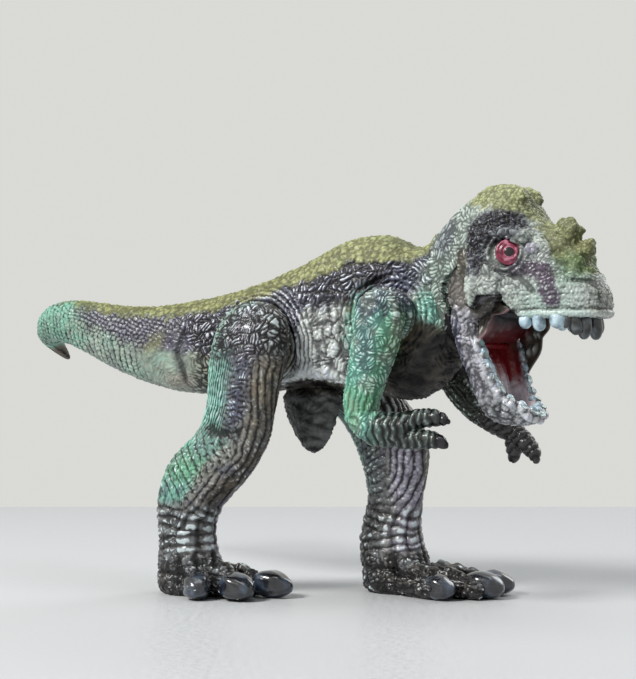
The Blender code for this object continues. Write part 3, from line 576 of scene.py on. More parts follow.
    cloudy = np.clip(0.5 + 0.9 * noiseAt(points, 7, 4), 0, 1)
    lay("fog", fade(-24, -12, x), 0.8)
    lay("mint", tailUnder * cloudy, 0.35)
    lay("stone", blob(flat, (6, 10, 60), (18, 10, 9), 0.5), 0.8)
    lay("chalk", rib, 0.9)
    lay("chalk", blob(flat, (17, 12, 61), (17, 9, 6), 0.5), 0.7)
    lay("lavender", blob(flat, (8, 12, 62), (5, 9, 5), 0.5), 0.5)
    lay("indigo", dark, 0.95)
    lay("plum", dark * fade(-26, -8, x), 0.45)
    lay("khaki", dark * cloudy * ease(-2, 6, z - darkLine), 0.2)
    lay("sea", neck * ease(43, 50, x), 0.6)
    lay("fog", neck, 0.5)
    lay("lavender", neck * cloudy, 0.25)
    lay("fog", neck * ease(84, 90, z), 0.5)
    lay("mint", blob(flat, (33, 12, 70), (6, 10, 11), 0.4), 0.8)
    lay("mint", blob(flat, (51, 9, 77), (6, 6, 4), 0.5), 0.8)
    lay("indigo", blob(flat, (42, 10, 86), (5, 8, 7), 0.5), 0.8)
    lay("indigo", blob(flat, (47, 7, 91.5), (6, 6, 3), 0.5), 0.7)
    # the middle of the chest is laid near-black: painted shade under the arm and neck, over the brown vinyl
    lay("blackAndShade", chest * fade(9.5, 12, side), 0.85)
    lay("umber", chest * cloudy, 0.5)
    lay("leaf", blob(flat, (38.5, 11, 68), (3.5, 5, 8), 0.5), 0.75)
    # the belly is laid near-black: painted shade on the underside, over the brown vinyl
    lay("blackAndShade", belly * (1 - fold), 0.85)
    lay("bark", belly * (1 - fold) * cloudy, 0.4)
    lay("slate", keel, 0.6)
    lay("chalk", fold, 1)
    lay("olive", back, 0.98)
    lay("moss", back * fade(0, 16, x), 0.6)
    lay("moss", tailBase * blob(flat, (-37, 8, 70), (5, 8, 4), 0.5), 0.6)
    lay("slate", blob(flat, (-26, 9, 66), (2.2, 6, 9), 0.6), 0.6)
    lay("blush", blob(flat, (-27, 8, 58), (5, 6, 2.5), 0.6), 0.4)
    lay("pine", tailEnd * (1 - 0.55 * back), 0.75)
    lay("mint", tailEnd * cloudy * (1 - back), 0.35)
    lay("slate", (1 - flankOn) * (1 - tailBase) * (1 - back) * np.clip(noiseAt(points, 5, 19) * 2, 0, 1), 0.45)
    lay("bark", tailTip, 1)
    plain = np.clip(chest + belly * 0.8 + tailTip, 0, 1) * (1 - fold)
    skin.store(wash=0.98 - 0.3 * back - 0.35 * tailBase - 0.2 * neck - 0.4 * fold - 0.15 * rib,
               brush=(0.3 + 0.6 * flankOn * dark + 0.6 * rib + 0.35 * neck + 0.6 * fold) * (1 - 0.9 * plain),
               gloss=0.5 + 0.14 * flankOn - 0.35 * back - 0.3 * plain)
    return splitSkin(skin.thing, (bodySet["tailSeam"] * mm, 0, 0), (1, 0, 0), ("torsoSkin", "tailSkin"))


torsoSkin, tailSkin = dressBody()
place(torsoSkin, vinyl("paintedBodyVinyl", pale=(0.68, 0.72, 0.78)), "body", "torso")
place(tailSkin, vinyl("paintedTailVinyl", pale=(0.58, 0.66, 0.64)), "body", "tail")


# ---- legs ----

legSet = {
    "voxel": 0.29, "relaxing": 10,
    "right": ((3.3, 79.2), (3.2, 74.8), (1.8, 68), (0.2, 58.5), (-0.9, 50.3), (-3.3, 43.2), (-8.8, 38.1),
              (-13.6, 31.3), (-19.1, 24.5), (-20.1, 17.7), (-19.3, 11.2), (-19.1, 5.8), (-19.1, -2)),
    "left": ((3.9, 79.2), (3.9, 74.8), (4.9, 68), (10.4, 60.5), (17.9, 53), (24.8, 46.2), (27.9, 38.8),
             (28.9, 30.9), (28.9, 23.8), (27.5, 17.7), (28.4, 11.9), (29.9, 5.8), (29.9, -2)),
    "middle": ((0, 21.2), (12, 20.8), (18, 20.5), (31, 19.2), (43, 18.1), (58, 17.9), (80, 17.4)),
    "girth": ((-5, 6.5), (12, 4.6), (22, 4.8), (34, 6.8), (46, 7.2), (60, 9), (80, 9)),
    "brickHeight": 0.5, "ridgeHeight": 0.5, "beadHeight": 0.55, "barHeight": 0.85,
}


clawSet = {
    # middle, heading outward in degrees, length, half width, half height
    "right": ((-11.4, -23.1, 3.6, 55, 5.2, 4, 3.55), (-1.1, -19.6, 3.7, 22, 5.9, 4.3, 3.65),
              (4.3, -10.6, 3.7, -4, 6.3, 4, 3.65)),
    "left": ((46, 6.4, 3.4, -24, 5.1, 3.6, 3.35), (55.3, 14.6, 3.7, -6, 6.1, 4.1, 3.6),
             (55.3, 22.2, 3.5, 12, 5.9, 3.7, 3.4)),
}


def alongPath(points, path):
    """Length along a path, and the offset of each point from it."""
    path = np.array(path, dtype=float)
    best = np.full(len(points), 1e9)
    length = np.zeros(len(points))
    offset = np.zeros((len(points), 3))
    gone = 0
    for start, end in zip(path, path[1:]):
        step = end - start
        reach = np.linalg.norm(step)
        share = np.clip(((points - start) @ step) / reach ** 2, 0, 1)
        away = points - (start + share[:, None] * step)
        gap = np.linalg.norm(away, axis=1)
        nearer = gap < best
        best[nearer] = gap[nearer]
        length[nearer] = gone + share[nearer] * reach
        offset[nearer] = away[nearer]
        gone += reach
    return length, offset


def zone(angle, start, end, soft=12):
    """1 between two angles in degrees, measured round the limb, soft at both ends."""
    middle = (start + end) / 2
    away = np.abs((angle - middle + 180) % 360 - 180)
    return 1 - ease((end - start) / 2 - soft, (end - start) / 2 + soft, away)


def dressLeg(node, name, side, path, body, toeRoot):
    skin = Skin((node,), name, legSet["voxel"], legSet["relaxing"], "stone")
    lay, press, lift = skin.lay, skin.press, skin.lift
    points = skin.points
    middle = legSet["middle"]
    line = [(x, side * float(np.interp(z, [a for a, _ in middle], [b for _, b in middle])), z) for x, z in path]
    length, offset = alongPath(points, line)
    x, _, z = points.T
    angle = np.degrees(np.arctan2(offset[:, 0], side * offset[:, 1]))
    around = np.radians(angle) * lineAt(z, legSet["girth"])
    angle = angle + 9 * noiseAt(points, 5, 1) + 6 * noiseAt(points, 1.5, 3)
    wave = noiseAt(points, 5, 21)
    foot = fade(9, 12.5, z - 0.10 * np.abs(x - toeRoot))
    thigh = ease(40, 49, z + 2 * wave)
    calf = ease(21.5, 27.5, z + 2 * wave) * (1 - thigh)
    ankle = fade(21.5, 27.5, z + 2 * wave) * (1 - foot)
    upper = ease(59, 69, z + 1.5 * wave)

    loose = 0.55 * noiseAt(points, 1.8, 61)
    bricks = tilesAt(around + 0.7 * wave + loose, length + 0.8 * noiseAt(points, 3, 5) + 0.6 * loose, 2.3, 1.2, 3)
    across = length + 1.1 * noiseAt(points, 2.4, 5)
    net = np.maximum(ridgesAt(across, 1.45, 1.5), 1 - ridgesAt(around + 0.6 * wave + loose, 2.5, 5) * 0.9)
    longRidges = ridgesAt(around + 0.5 * wave + 0.35 * loose, 1.7, 2.2)
    broken = longRidges * (0.6 + 0.4 * ridgesAt(length + 3.5 * wave + 3 * loose, 5.5, 6))
    fineLines = ridgesAt(around + 0.5 * noiseAt(points * (1, 1, 0.5), 2, 7) + 0.4 * loose, 0.95, 2)
    wrinkles = fineLines * (0.55 + 0.45 * ridgesAt(length + 2 * noiseAt(points, 2.2, 19), 2.6, 3))
    beads = tilesAt(around + 0.5 * wave + loose, length - 0.35 * around + 0.6 * wave + 0.6 * loose, 1.6, 1.35, 2.4)
    rows = ridgesAt(length - 0.35 * around + 0.6 * wave, 2.7, 2)
    bars = ridgesAt(length + 0.8 * wave + 0.5 * loose, 2.5, 1.8)
    knots = weaveAt(points, around, length, 2.7, 1.05, 30)
    lumps = pebblesAt(wanderAt(points, 3, 1, 4), 2.8, 33)
    fine = pebblesAt(points, 1.1, 35)

    outer = zone(angle, -12, 44)
    front = zone(angle, 44, 116)
    inner = zone(angle, 116, 178)
    rear = zone(angle, 178, 348)
    press(thigh * upper, knots, 0.5)
    press(thigh * (1 - upper) * outer, 0.55 * net + 0.5 * knots, legSet["brickHeight"])
    press(thigh * (1 - upper) * front, 0.65 * broken + 0.35 * knots, legSet["ridgeHeight"])
    press(thigh * (1 - upper) * rear, wrinkles, 0.36)
    press(thigh * inner, broken, 0.45)
    press(calf * rear, 0.35 * rows + 0.35 * beads + 0.4 * knots, legSet["beadHeight"] * 1.2)
    press(calf * outer, 0.3 * rows + 0.35 * bricks + 0.4 * knots, legSet["beadHeight"])
    press(calf * np.clip(front + inner, 0, 1), 0.7 * broken + 0.3 * knots, legSet["ridgeHeight"] * 1.1)
    press(ankle * np.clip(rear + outer, 0, 1), 0.6 * bars + 0.45 * knots, legSet["barHeight"])
    press(ankle * np.clip(front + inner, 0, 1), 0.6 * longRidges + 0.45 * bars, legSet["barHeight"])
    nearClaw = np.zeros(len(points))
    for cx, cy, cz, _, length_, half, _ in clawSet["right" if side < 0 else "left"]:
        nearClaw = np.maximum(nearClaw, blob(points, (cx, cy, cz), (length_ + 0.6, half + 1.6, 5), 0.2))
    press(foot, 0.3 * lumps + 0.55 * knots + 0.25 * fine, 0.8)
    lift(nearClaw, -0.5)
    for cx, cy, cz, heading, _, half, _ in clawSet["right" if side < 0 else "left"]:
        turn = side * math.radians(heading)
        back, off = np.array((math.cos(turn), math.sin(turn))), points[:, :2] - (cx, cy)
        behind, beside = -(off @ back), off @ np.array((-back[1], back[0]))
        toe = ease(2, 5, behind) * fade(15, 20, behind) * ease(1.5, 4, z) * foot
        lift(toe * bell(beside, half * 0.55) * (0.6 + 0.4 * np.cos(behind * 1.35)), 1, 0.25)
        lift(toe * bell(np.abs(beside) - half * 1.15, 0.6), -0.7, -0.6)
    outside = np.clip(outer + rear, 0, 1)
    knee = bell(z - 44 - 1.6 * wave - 0.06 * around ** 2, 0.8)
    lift(knee * outside * ease(-0.2, 0.3, noiseAt(points, 6, 15)), -0.45, -0.5)
    lift(bell(np.hypot(x - hip[0], z - hip[1]) - 9.3, 0.7) * upper * outer, 0.35, 0.3)
    lift(foot * bell(z - 6.5 - 1.5 * wave, 0.7), -0.5, -0.5)
    lift(blob(mirrored(points), (-14, 19, 35), (7, 9, 6), 0.8), 0.5)
    skin.swings = [("torso", hip, -30)]
    skin.carve(1 - 0.4 * nearClaw)

    lay("slate", np.clip(outer + front, 0, 1) * thigh, 0.5)
    lay("mint", thigh * zone(angle, -175, -8, 34) * (1 - 0.6 * ease(64, 74, z)), 0.9)
    lay("chalk", thigh * zone(angle, -90, -20, 30) * ease(0, 0.3, noiseAt(points, 3, 63)), 0.25)
    lay("sea", thigh * zone(angle, -60, -8, 10), 0.35)
    lay("indigo", thigh * zone(angle, -8, 42, 26), 0.9)
    lay("slate", thigh * upper * zone(angle, -60, 90), 0.6)
    lay("plum", thigh * upper * blob(mirrored(points), (2, 24, 69), (6, 8, 7), 0.5), 0.7)
    lay("tan", thigh * zone(angle, 42, 120, 14) * (1 - upper), 0.85)
    lay("umber", thigh * zone(angle, 76, 175, 14), 0.6)
    lay("mint", calf * zone(angle, -150, 16, 34), 0.85)
    if side < 0:
        lay("leaf", calf * blob(mirrored(points), (-17, 20, 36), (8, 10, 5), 0.5), 0.5)
    lay("stone", calf * zone(angle, 16, 62, 12), 0.75)
    lay("umber", calf * zone(angle, 62, 118, 12), 0.85)
    shin = np.clip(calf + ankle, 0, 1)
    lay("lavender", shin * zone(angle, 112, 172, 10), 0.85)
    lay("slate", shin * zone(angle, 172, 235, 12), 0.8)
    lay("slate", ankle * zone(angle, -125, 112, 12), 0.9)
    lay("chalk", ankle * bars * zone(angle, -125, 40, 12), 0.15)
    lay("blackAndShade", ankle * (1 - bars), 0.6)
    lay("blackAndShade", ankle * np.clip(0.6 - noiseAt(points, 4, 3), 0, 1), 0.8)
    lay("slate", foot, 0.9)
    lay("umber", foot * np.clip(0.4 + noiseAt(points, 6, 8) * 2.2, 0, 1), 0.7)
    lay("blackAndShade", foot * ease(0, 0.3, noiseAt(points, 4, 57)), 0.6)
    lay("blackAndShade", foot * fade(1.5, 5, z), 0.85)
    grey = np.clip(noiseAt(points, 5, 27) * 2, 0, 1)
    lay("slate", np.clip(thigh + calf, 0, 1) * grey, 0.45)
    lay("indigo", calf * np.clip(noiseAt(points, 3, 47) * 2.2 - 0.3, 0, 1), 0.5)
    # the upper inside of the far leg is laid near-black: painted shade
    if side > 0:
        lay("blackAndShade", ease(44, 54, z) * zone(angle, 60, 240, 20), 0.8)
    skin.store(wash=0.98 - 0.1 * calf * rear,
               brush=(0.6 + 0.4 * (thigh * outer + calf * rear + 0.4 * ankle + foot)
                      - 0.25 * thigh * front * (1 - upper)),
               gloss=0.62 + 0.12 * foot + 0.08 * thigh * front)
    place(skin.thing, legVinyl, body, node)


legVinyl = vinyl("paintedLegVinyl", pale=(0.68, 0.78, 0.80))
dressLeg("right_leg", "rightLegSkin", -1, legSet["right"], "right_leg_body", -19)
dressLeg("left_leg", "leftLegSkin", 1, legSet["left"], "left_leg_body", 30)


# ---- arms ----

armSet = {
    "voxel": 0.27, "relaxing": 7, "girth": 5,
    "right": ((40.2, 82), (39.9, 75.6), (38.2, 67.2), (35.4, 57.6), (33.5, 49.2), (38.8, 45.3), (44.4, 46.2),
              (48.9, 46.4)),
    "left": ((39.3, 82), (40.2, 75.6), (43, 67.2), (46.3, 58.8), (51.1, 52.6), (56.1, 48.7), (60.6, 46.4),
             (64, 44.8)),
    "ringPitch": 2, "ringHeight": 0.45, "weaveHeight": 0.36,
}


def dressArm(node, name, side, path, body, wristAt):
    skin = Skin((node,), name, armSet["voxel"], armSet["relaxing"], "mint")
    lay, press, lift = skin.lay, skin.press, skin.lift
    points = skin.points
    length, offset = alongPath(points, [(x, side * 16.8, z) for x, z in path])
    x, _, z = points.T
    angle = np.degrees(np.arctan2(offset[:, 0], side * offset[:, 1]))
    around = np.radians(angle) * armSet["girth"]
    hand = ease(wristAt - 2, wristAt + 2.5, length + 1.2 * noiseAt(points, 4, 2))
    reach = x if side < 0 else 0.62 * x - 0.78 * z
    rings = ridgesAt(reach + 1.1 * noiseAt(points, 2.6, 4), armSet["ringPitch"], 1.8)
    weave = weaveAt(points, around, length, 2.4, 0.85, 5)
    elbow = ease(24, 28, length) * fade(35, 38, length)
    folds = ridgesAt(around + 0.8 * noiseAt(points, 3, 6), 1.9, 2)
    press(1 - hand, weave, armSet["weaveHeight"])
    press(elbow * (1 - hand) * 0.7, folds, 0.5)
    press(hand, 0.85 * rings + 0.2 * weave, armSet["ringHeight"])
    disc = np.hypot(x - shoulder[0], z - shoulder[1])
    lift(bell(disc - 5.6, 0.7) * ease(70, 76, z), 0.4, 0.2)
    lift(bell(disc - 3.2, 0.6) * ease(70, 76, z), -0.35, -0.6)
    if side < 0:
        skin.swings = [("lower_jaw", shoulder, 40)]
    skin.carve()
    tip = ease(wristAt + 9.5, wristAt + 12, length) if side > 0 else ease(54.5, 56.5, x)

    lay("leaf", zone(angle, 30, 120), 0.4)
    lay("olive", zone(angle, 60, 110) * ease(62, 66, z), 0.35)
    lay("umber", zone(angle, 120, 240, 16), 0.9)
    lay("indigo", ease(72, 79, z + 1.8 * noiseAt(points, 3, 6)), 0.85)
    lay("indigo", blob(mirrored(points), (37, 20, 70), (3, 6, 10), 0.5), 0.55)
    lay("fog", (1 - hand) * np.clip(noiseAt(points, 4, 27) * 2.4, 0, 1), 0.5)
    lay("leaf", elbow, 0.45)
    lay("blackAndShade", hand, 0.85)
    lay("blackAndShade", ease(wristAt + 1, wristAt + 7, length), 0.7)
    lay("ink", tip, 1)
    # the far arm's forearm is laid near-black and its hand gets less dry-brush in the store below: painted shade on
    # the far side
    if side > 0:
        lay("blackAndShade", ease(16, 28, length), 0.9)
    skin.store(wash=0.98 - 0.35 * (1 - hand), brush=0.8 - 0.55 * hand - 0.6 * tip - (0.35 * hand if side > 0 else 0),
               gloss=0.6 + 0.15 * hand + 0.2 * tip)
    place(skin.thing, armVinyl, body, node)


armVinyl = vinyl("paintedArmVinyl", pale=(0.62, 0.78, 0.72))
dressArm("right_arm", "rightArmSkin", -1, armSet["right"], "right_arm_body", 39)
dressArm("left_arm", "leftArmSkin", 1, armSet["left"], "left_arm_body", 40)


# ---- head ----

headSet = {
    "voxel": 0.26, "relaxing": 6,
    "oliveLine": ((-5, 22), (3, 22), (12.1, 20.7), (20.4, 18.3), (27.6, 15.3), (31.9, 10.7), (34.1, 6.9),
                  (37.4, 3.5), (44.2, 1.6), (48.2, -0.9)),
    "eye": (22.6, 9.2, 7.8),
    "comma": ((26, 4.4), (29, 3.9), (32.2, 3.3), (33.2, 1.2), (33.4, -1.2), (35.2, -3.8)),
    "palateEdge": ((3, 11.5), (14, 10.9), (22, 10.4), (26, 8.8), (32, 7.1), (40, 5.4), (44, 2.6)),
}


def nearLine(flat, line, wide):
    """1 on a drawn line in the side view, falling off across its width."""
    best = np.full(len(flat), 1e9)
    spots = np.stack([flat[:, 0], flat[:, 2]], axis=1)
    for start, end in zip(line, line[1:]):
        start, end = np.array(start), np.array(end)
        step = end - start
        share = np.clip(((spots - start) @ step) / (step @ step), 0, 1)
        best = np.minimum(best, np.linalg.norm(spots - (start + share[:, None] * step), axis=1))
    return 1 - ease(wide * 0.5, wide * 1.3, best)


def dressHead():
    skin = Skin(("head",), "headSkin", headSet["voxel"], headSet["relaxing"], "fog")
    lay, press, lift = skin.lay, skin.press, skin.lift
    world = skin.points
    points = headSpace(world)
    flat = mirrored(points)
    x, side, z = flat.T
    ragged = noiseAt(points, 2.6, 4) * 1.6 + noiseAt(points, 1, 9) * 0.8
    olive = ease(-1.2, 1.6, z - lineAt(x, headSet["oliveLine"]) + ragged)
    patch = np.clip(blob(flat + ragged[:, None] * 0.3, (19.5, 10, 14.2), (7.2, 9, 4.6), 0.3)
                    + blob(flat, (15.2, 11, 8.5), (3.2, 8, 6.5), 0.35), 0, 1) * ease(4, 6, side)
    comma = nearLine(flat + ragged[:, None] * 0.35, headSet["comma"], 2.1) * ease(3, 5, side)
    eyeGap = np.linalg.norm((flat - np.array(headSet["eye"])) * (1, 0.6, 1), axis=1)
    neckSide = fade(9.5, 14, x + ragged)
    normals = headSpace(skin.normals + neckMiddle)
    inward = np.sign(points[:, 1]) * normals[:, 1] < -0.25
    below = normals[:, 2] < -0.25
    within = (side < lineAt(x, headSet["palateEdge"])) & (x > 3.5) & (z < 1.5)
    hollow = (within & (inward | below) & ((z > -7.6) | (x < 26)) & (x < 41)).astype(float)
    tooth = fade(-8.5, -8.05, z) * ease(25, 26, x)

    pebbles = pebblesAt(points, 1.1, 3)
    fine = pebblesAt(points, 0.8, 8)
    lumps = pebblesAt(wanderAt(points, 4, 0.8, 3), 2.1, 5)
    folds = weaveAt(wanderAt(points, 5, 0.8, 2), x, z, 2.2, 0.85, 4)
    curls = weaveAt(wanderAt(points, 3, 1.2, 7), x, z, 2.4, 1.2, 14)
    streaks = ridgesAt(z + 1.3 * noiseAt(points * (0.5, 1, 1), 2.5, 18), 1.2, 2.2)

    face = (1 - olive) * (1 - neckSide)
    press(face, 0.5 * folds + 0.45 * fine + 0.15, 0.30)
    press(neckSide * (1 - olive), weaveOnFlank(world, 0.9), 0.42)
    snout = ease(24, 30, x)
    press(olive, (0.5 - 0.1 * snout) * pebbles + 0.4 * (1 - snout) * lumps + (0.2 + 0.3 * snout) * fine,
               0.6 - 0.2 * snout)
    rough = noiseAt(points, 3.2, 51) + 0.3 * noiseAt(points, 1.4, 53)
    lift(olive * snout, -0.45 + 1.3 * rough)
    press(patch, 0.7 * curls + 0.4 * lumps, 0.95)
    low = blob(flat, (36, 7, -4), (13, 6, 5), 0.4)
    press(low * face, 0.4 * streaks + 0.45 * fine + 0.25, 0.28)
    cheek = blob(flat, (18, 12, 1.2), (7, 5, 5.5), 0.4)
    press(cheek * 0.7, 0.5 * lumps + 0.45 * folds + 0.1, 0.45)

    socket = bell(eyeGap - 4.3, 0.6) + 0.7 * bell(eyeGap - 5.7, 0.5)
    lift(socket * ease(6, 8, side), 0.7, 0.2)
    lift(bell(eyeGap - 3.5, 0.4) * ease(6, 8, side), -0.35, -0.6)
    lift(nearLine(flat, ((18.5, 12.6), (22.5, 13.2), (27, 11.6)), 1.1) * ease(7, 8.5, side), 0.8)
    lift(bell(z + 7.2, 0.7) * ease(25, 27, x) * (1 - tooth), 0.5, 0.35)
    lift(bell(z + 6.1, 0.35) * ease(26, 28, x), -0.3, -0.5)
    lift(nearLine(flat, ((39.5, 0.8), (42.5, 0.6), (44.6, -1.4), (45, -4)), 0.55) * ease(2, 4, side),
                -0.5, -0.8)
    knob = blob(flat, (29.3, 9.6, 8.8), (1.5, 3, 1.4), 0.5)
    lift(knob, 0.8, 0.2)
    ridge = nearLine(flat, ((33.5, 12.5), (36.5, 10), (40.5, 6), (43.5, 3.2)), 1.3)
    lift(ridge * ease(2.5, 4.5, side) * fade(8, 9, side), 0.7)
    jowl = nearLine(flat, ((13.5, 6.4), (14.6, 2.4), (14, -1.8), (13.2, -5)), 1.4) * ease(8, 9, side)
    lift(jowl, 0.9, 0.3)
    lift(nearLine(flat, ((19, 5.6), (22.5, 3), (27, 1.6), (30, -1.6)), 0.7) * ease(7, 8, side),
                -0.5, -0.6)
    quiet = np.clip(hollow + tooth, 0, 1)
    skin.join("torso")
    skin.carve(1 - quiet)
    skin.shift(np.where(x > 25, np.maximum(-8.1 - z, 0), 0), (0, 0, 1))

    lay("chalk", face * (1 - neckSide), 0.25)
    lay("chalk", face * blob(flat, (22, 12, 1), (11, 8, 5), 0.5), 0.35)
    lay("sea", neckSide, 0.45)
    lay("fog", neckSide, 0.6)
    lay("chalk", neckSide * ease(4, 12, z), 0.25)
    lay("indigo", neckSide * blob(flat, (3, 9, 13), (4.5, 8, 5), 0.6), 0.65)
    lay("sea", low * face, 0.3)
    lay("tan", ease(38, 44, x) * fade(-1, 3, z), 0.25)
    lay("chalk", ease(34, 42, x) * fade(-1, 3, z), 0.45)
    lay("tan", ease(40, 45, x) * fade(-1, 4, z), 0.3)
    lay("olive", olive, 0.92)
    lay("moss", olive * ease(34, 40, x), 0.5)
    lay("leaf", blob(flat, (38, 6, 4), (6, 5, 3.5), 0.6), 0.4)
    lay("moss", ease(43.5, 46, x + 0.3 * z), 0.7)
    lay("indigo", patch, 0.95)
    lay("ink", patch, 0.75)
    smoky = nearLine(flat + ragged[:, None] * 0.4, ((25, 5), (29, 6.2), (33, 4)), 3.6) * ease(4, 6, side)
    lay("slate", smoky, 0.55)
    lay("plum", comma, 0.95)
    band = nearLine(flat, ((10.6, 8), (10.9, 3.5), (11.6, -1), (12.2, -4)), 2.2) * ease(6, 8, side)
    lay("bark", band, 0.9)
    lay("slate", bell(eyeGap - 5.2, 1.3) * ease(6, 8, side), 0.45)
    lay("lavender", knob, 0.8)
    lay("aqua", bell(z + 7.2, 0.7) * ease(25, 27, x) * fade(41, 44, x), 0.5)
    # downward faces inside the mouth are laid near-black: painted shade
    lay("ink", ease(0.15, 0.5, -normals[:, 2]) * (z < 0) * ease(6, 9, x) * fade(25, 27, x), 1)
    lay("blood", hollow, 1)
    # the rear of the palate goes near-black: painted shade over the red lining
    lay("ink", hollow * fade(24, 34, x), 0.97)
    # the block at the back of the mouth is laid near-black: painted shade
    core = (side < 8.7) & (x > 3) & (x < 26) & (z < -1)
    lay("ink", core.astype(float), 1)
    lay("aqua", tooth * fade(35, 39, x), 0.95)
    # the front teeth of the head skin are laid dark grey: painted shade
    lay("slate", tooth * ease(35, 39, x), 0.95)
    skin.store(wash=0.75 + 0.25 * patch - 0.1 * olive - 0.7 * quiet,
               brush=(0.5 - 0.25 * patch) * (1 - quiet),
               gloss=np.where(core, 0.05, 0.5 - 0.25 * olive + 0.3 * hollow * (x > 26)))
    place(skin.thing, headVinyl, "body", "head")


headVinyl = vinyl("paintedHeadVinyl", pale=(0.66, 0.72, 0.68))
dressHead()


# ---- lower jaw and tongue ----

jawSet = {
    "voxel": 0.26, "relaxing": 6,
    "rim": ((4, -1), (7, -3), (13, -4.4), (17, -4.9), (22, -5.6), (26, -5.5), (30, -3.6), (33, -2.2)),
    "wall": ((3, 9.2), (8, 9.3), (13, 8.7), (18, 7.7), (22, 6.7), (27, 5.4), (30, 4.2), (32, 2.6)),
}


def dressJaw():
    skin = Skin(("lower_jaw",), "jawSkin", jawSet["voxel"], jawSet["relaxing"], "lavender")
    lay, press, lift = skin.lay, skin.press, skin.lift
    world = skin.points
    points = jawSpace(world)
    flat = mirrored(points)
    x, side, z = flat.T
    normals = headSpace(skin.normals + neckMiddle)
    c, s = math.cos(gape), math.sin(gape)
    up = s * normals[:, 0] + c * normals[:, 2]
    inward = -np.sign(points[:, 1]) * normals[:, 1]
    rimLine = lineAt(x, jawSet["rim"])
    within = ease(-0.3, 0.5, lineAt(x, jawSet["wall"]) + 0.5 - side)
    mouth = within * fade(rimLine - 1.4, rimLine - 0.4, z) * ease(0, 0.4, np.maximum(up, inward))
    mouth *= ease(9.5, 11.5, x)
    tooth = ease(0.15, 0.5, z - rimLine) * ease(10.5, 12, x)
    ear = fade(4.5, 7.5, np.hypot(x, z))
    folds = weaveAt(wanderAt(points, 4, 1, 2), x, z, 3.2, 1.4, 4)
    lumps = pebblesAt(points * (0.8, 1, 1), 2.4, 6)
    fine = pebblesAt(points, 0.95, 8)
    chin = ease(22, 29, x)
    press(1 - chin, 0.55 * folds + 0.3 * lumps + 0.3 * fine, 0.55)
    press(chin, 0.75 * lumps + 0.35 * fine, 0.9)
    gum = bell(z - rimLine + 1.6, 1) * (1 - mouth) * ease(10, 12, x)
    lift(gum, 0.5, 0.3)
    lift(gum * ridgesAt(x + 0.8 * noiseAt(points, 3, 5), 3.1, 2), 0.5, 0.2)
    quiet = np.clip(mouth + tooth + 0.4 * ear, 0, 1)
    lift(chin * fade(-13, -9, z), 0.9)
    skin.swings = [("right_arm", shoulder, -40)]
    skin.carve(1 - quiet)
    skin.shift(np.where(x > 10.5, np.maximum(z - rimLine - 0.1, 0), 0), -jawUp)
    lay("chalk", np.ones(len(x)), 0.35)
    lay("indigo", nearLine(flat, ((5, -9), (12, -12), (20, -13.5)), 2), 0.75)
    lay("chalk", chin, 0.35)
    lay("chalk", gum, 0.35)
    lay("slate", chin * fade(-9, -5, z), 0.5)
    lay("bark", fade(2.5, 7.5, x + 0.8 * np.abs(z + 2)), 0.85)
    # inward faces at the back of the jaw are laid near-black: painted shade inside the mouth
    lay("ink", ease(0, 0.4, inward) * fade(10, 15, x), 0.95)
    top = ease(-3.4, -1.4, z) * ease(3, 5, x) * fade(14, 18, x)
    lay("umber", top, 0.85)
    lay("blackAndShade", top * ease(-1.5, 1, z), 0.85)
    lay("blood", mouth, 1)
    # a rose stripe below the rim on the near side only: painted highlight
    lay("rose", mouth * bell(z - rimLine + 2.4, 0.9) * (points[:, 1] < 0), 0.7)
    lay("pearl", mouth * ease(19, 24, x), 0.8)
    lay("umber", mouth * ease(0, 2, points[:, 1] - 6.5), 0.8)
    lay("aqua", tooth, 0.95)
    skin.store(wash=0.85 - 0.8 * quiet, brush=0.8 * (1 - quiet), gloss=0.62 + 0.25 * mouth + 0.25 * chin)
    place(skin.thing, vinyl("paintedJawVinyl", pale=(0.62, 0.64, 0.72)), "jaw", "lower_jaw")


def dressTongue():
    skin = Skin(("tongue",), "tongueSkin", 0.26, 8, "blood")
    lay, press, lift = skin.lay, skin.press, skin.lift
    points = jawSpace(skin.points)
    x = points[:, 0]
    grain = pebblesAt(points, 1.1, 3)
    press(np.ones(len(x)), 0.5 + 0.4 * grain, 0.3)
    lift(bell(points[:, 1], 0.7), -0.4)
    skin.carve()
    # rose along the near side of the tongue only: painted highlight
    lay("rose", ease(3.4, 4.8, -points[:, 1]), 0.85)
    lay("rose", ease(15, 20, x), 0.5)
    lay("pearl", ease(18, 22, x), 0.8)
    skin.store(wash=0.4, brush=0.1, gloss=0.85)
    wetVinyl = vinyl("wetTongueVinyl", pale=(0.6, 0.35, 0.38), coat=0.8, bump=0.05)
    place(skin.thing, wetVinyl, "jaw", "tongue")


dressJaw()
dressTongue()


# ---- claws, teeth and eyes ----

clawPaint = tones("glossyBlackClaw", ((0.004, 0.004, 0.006), (0.014, 0.016, 0.022), (0.07, 0.10, 0.15)),
                          230, 0.22, 0.14, 0.8)
toothPaint = tones("paleBlueTooth", ((0.14, 0.19, 0.22), (0.38, 0.52, 0.60), (0.68, 0.80, 0.86)),
                           420, 0.28, 0.10, 0.5)
# the front teeth are near-black: painted shade
shadedToothPaint = tones("shadedFrontTooth", ((0.010, 0.012, 0.013), (0.035, 0.04, 0.042), (0.14, 0.16, 0.17)),
                               420, 0.3, 0.10, 0.5)
eyeRed = tones("redEyePaint", ((0.05, 0.004, 0.012), (0.22, 0.012, 0.045), (0.66, 0.26, 0.36)),
                       520, 0.30, 0.08, 0.4)
pupilBlack = tones("blackPupil", ((0.004, 0.003, 0.004), (0.015, 0.008, 0.01)), 300, 0.32, 0.02, 0.25)
pinSteel = tones("drawnSteelPin", ((0.40, 0.40, 0.42), (0.62, 0.62, 0.63)), 900, 0.32, 0.02, 0, (1, 0.05, 1))
pinSteel.node_tree.nodes["Principled BSDF"].inputs["Metallic"].default_value = 1

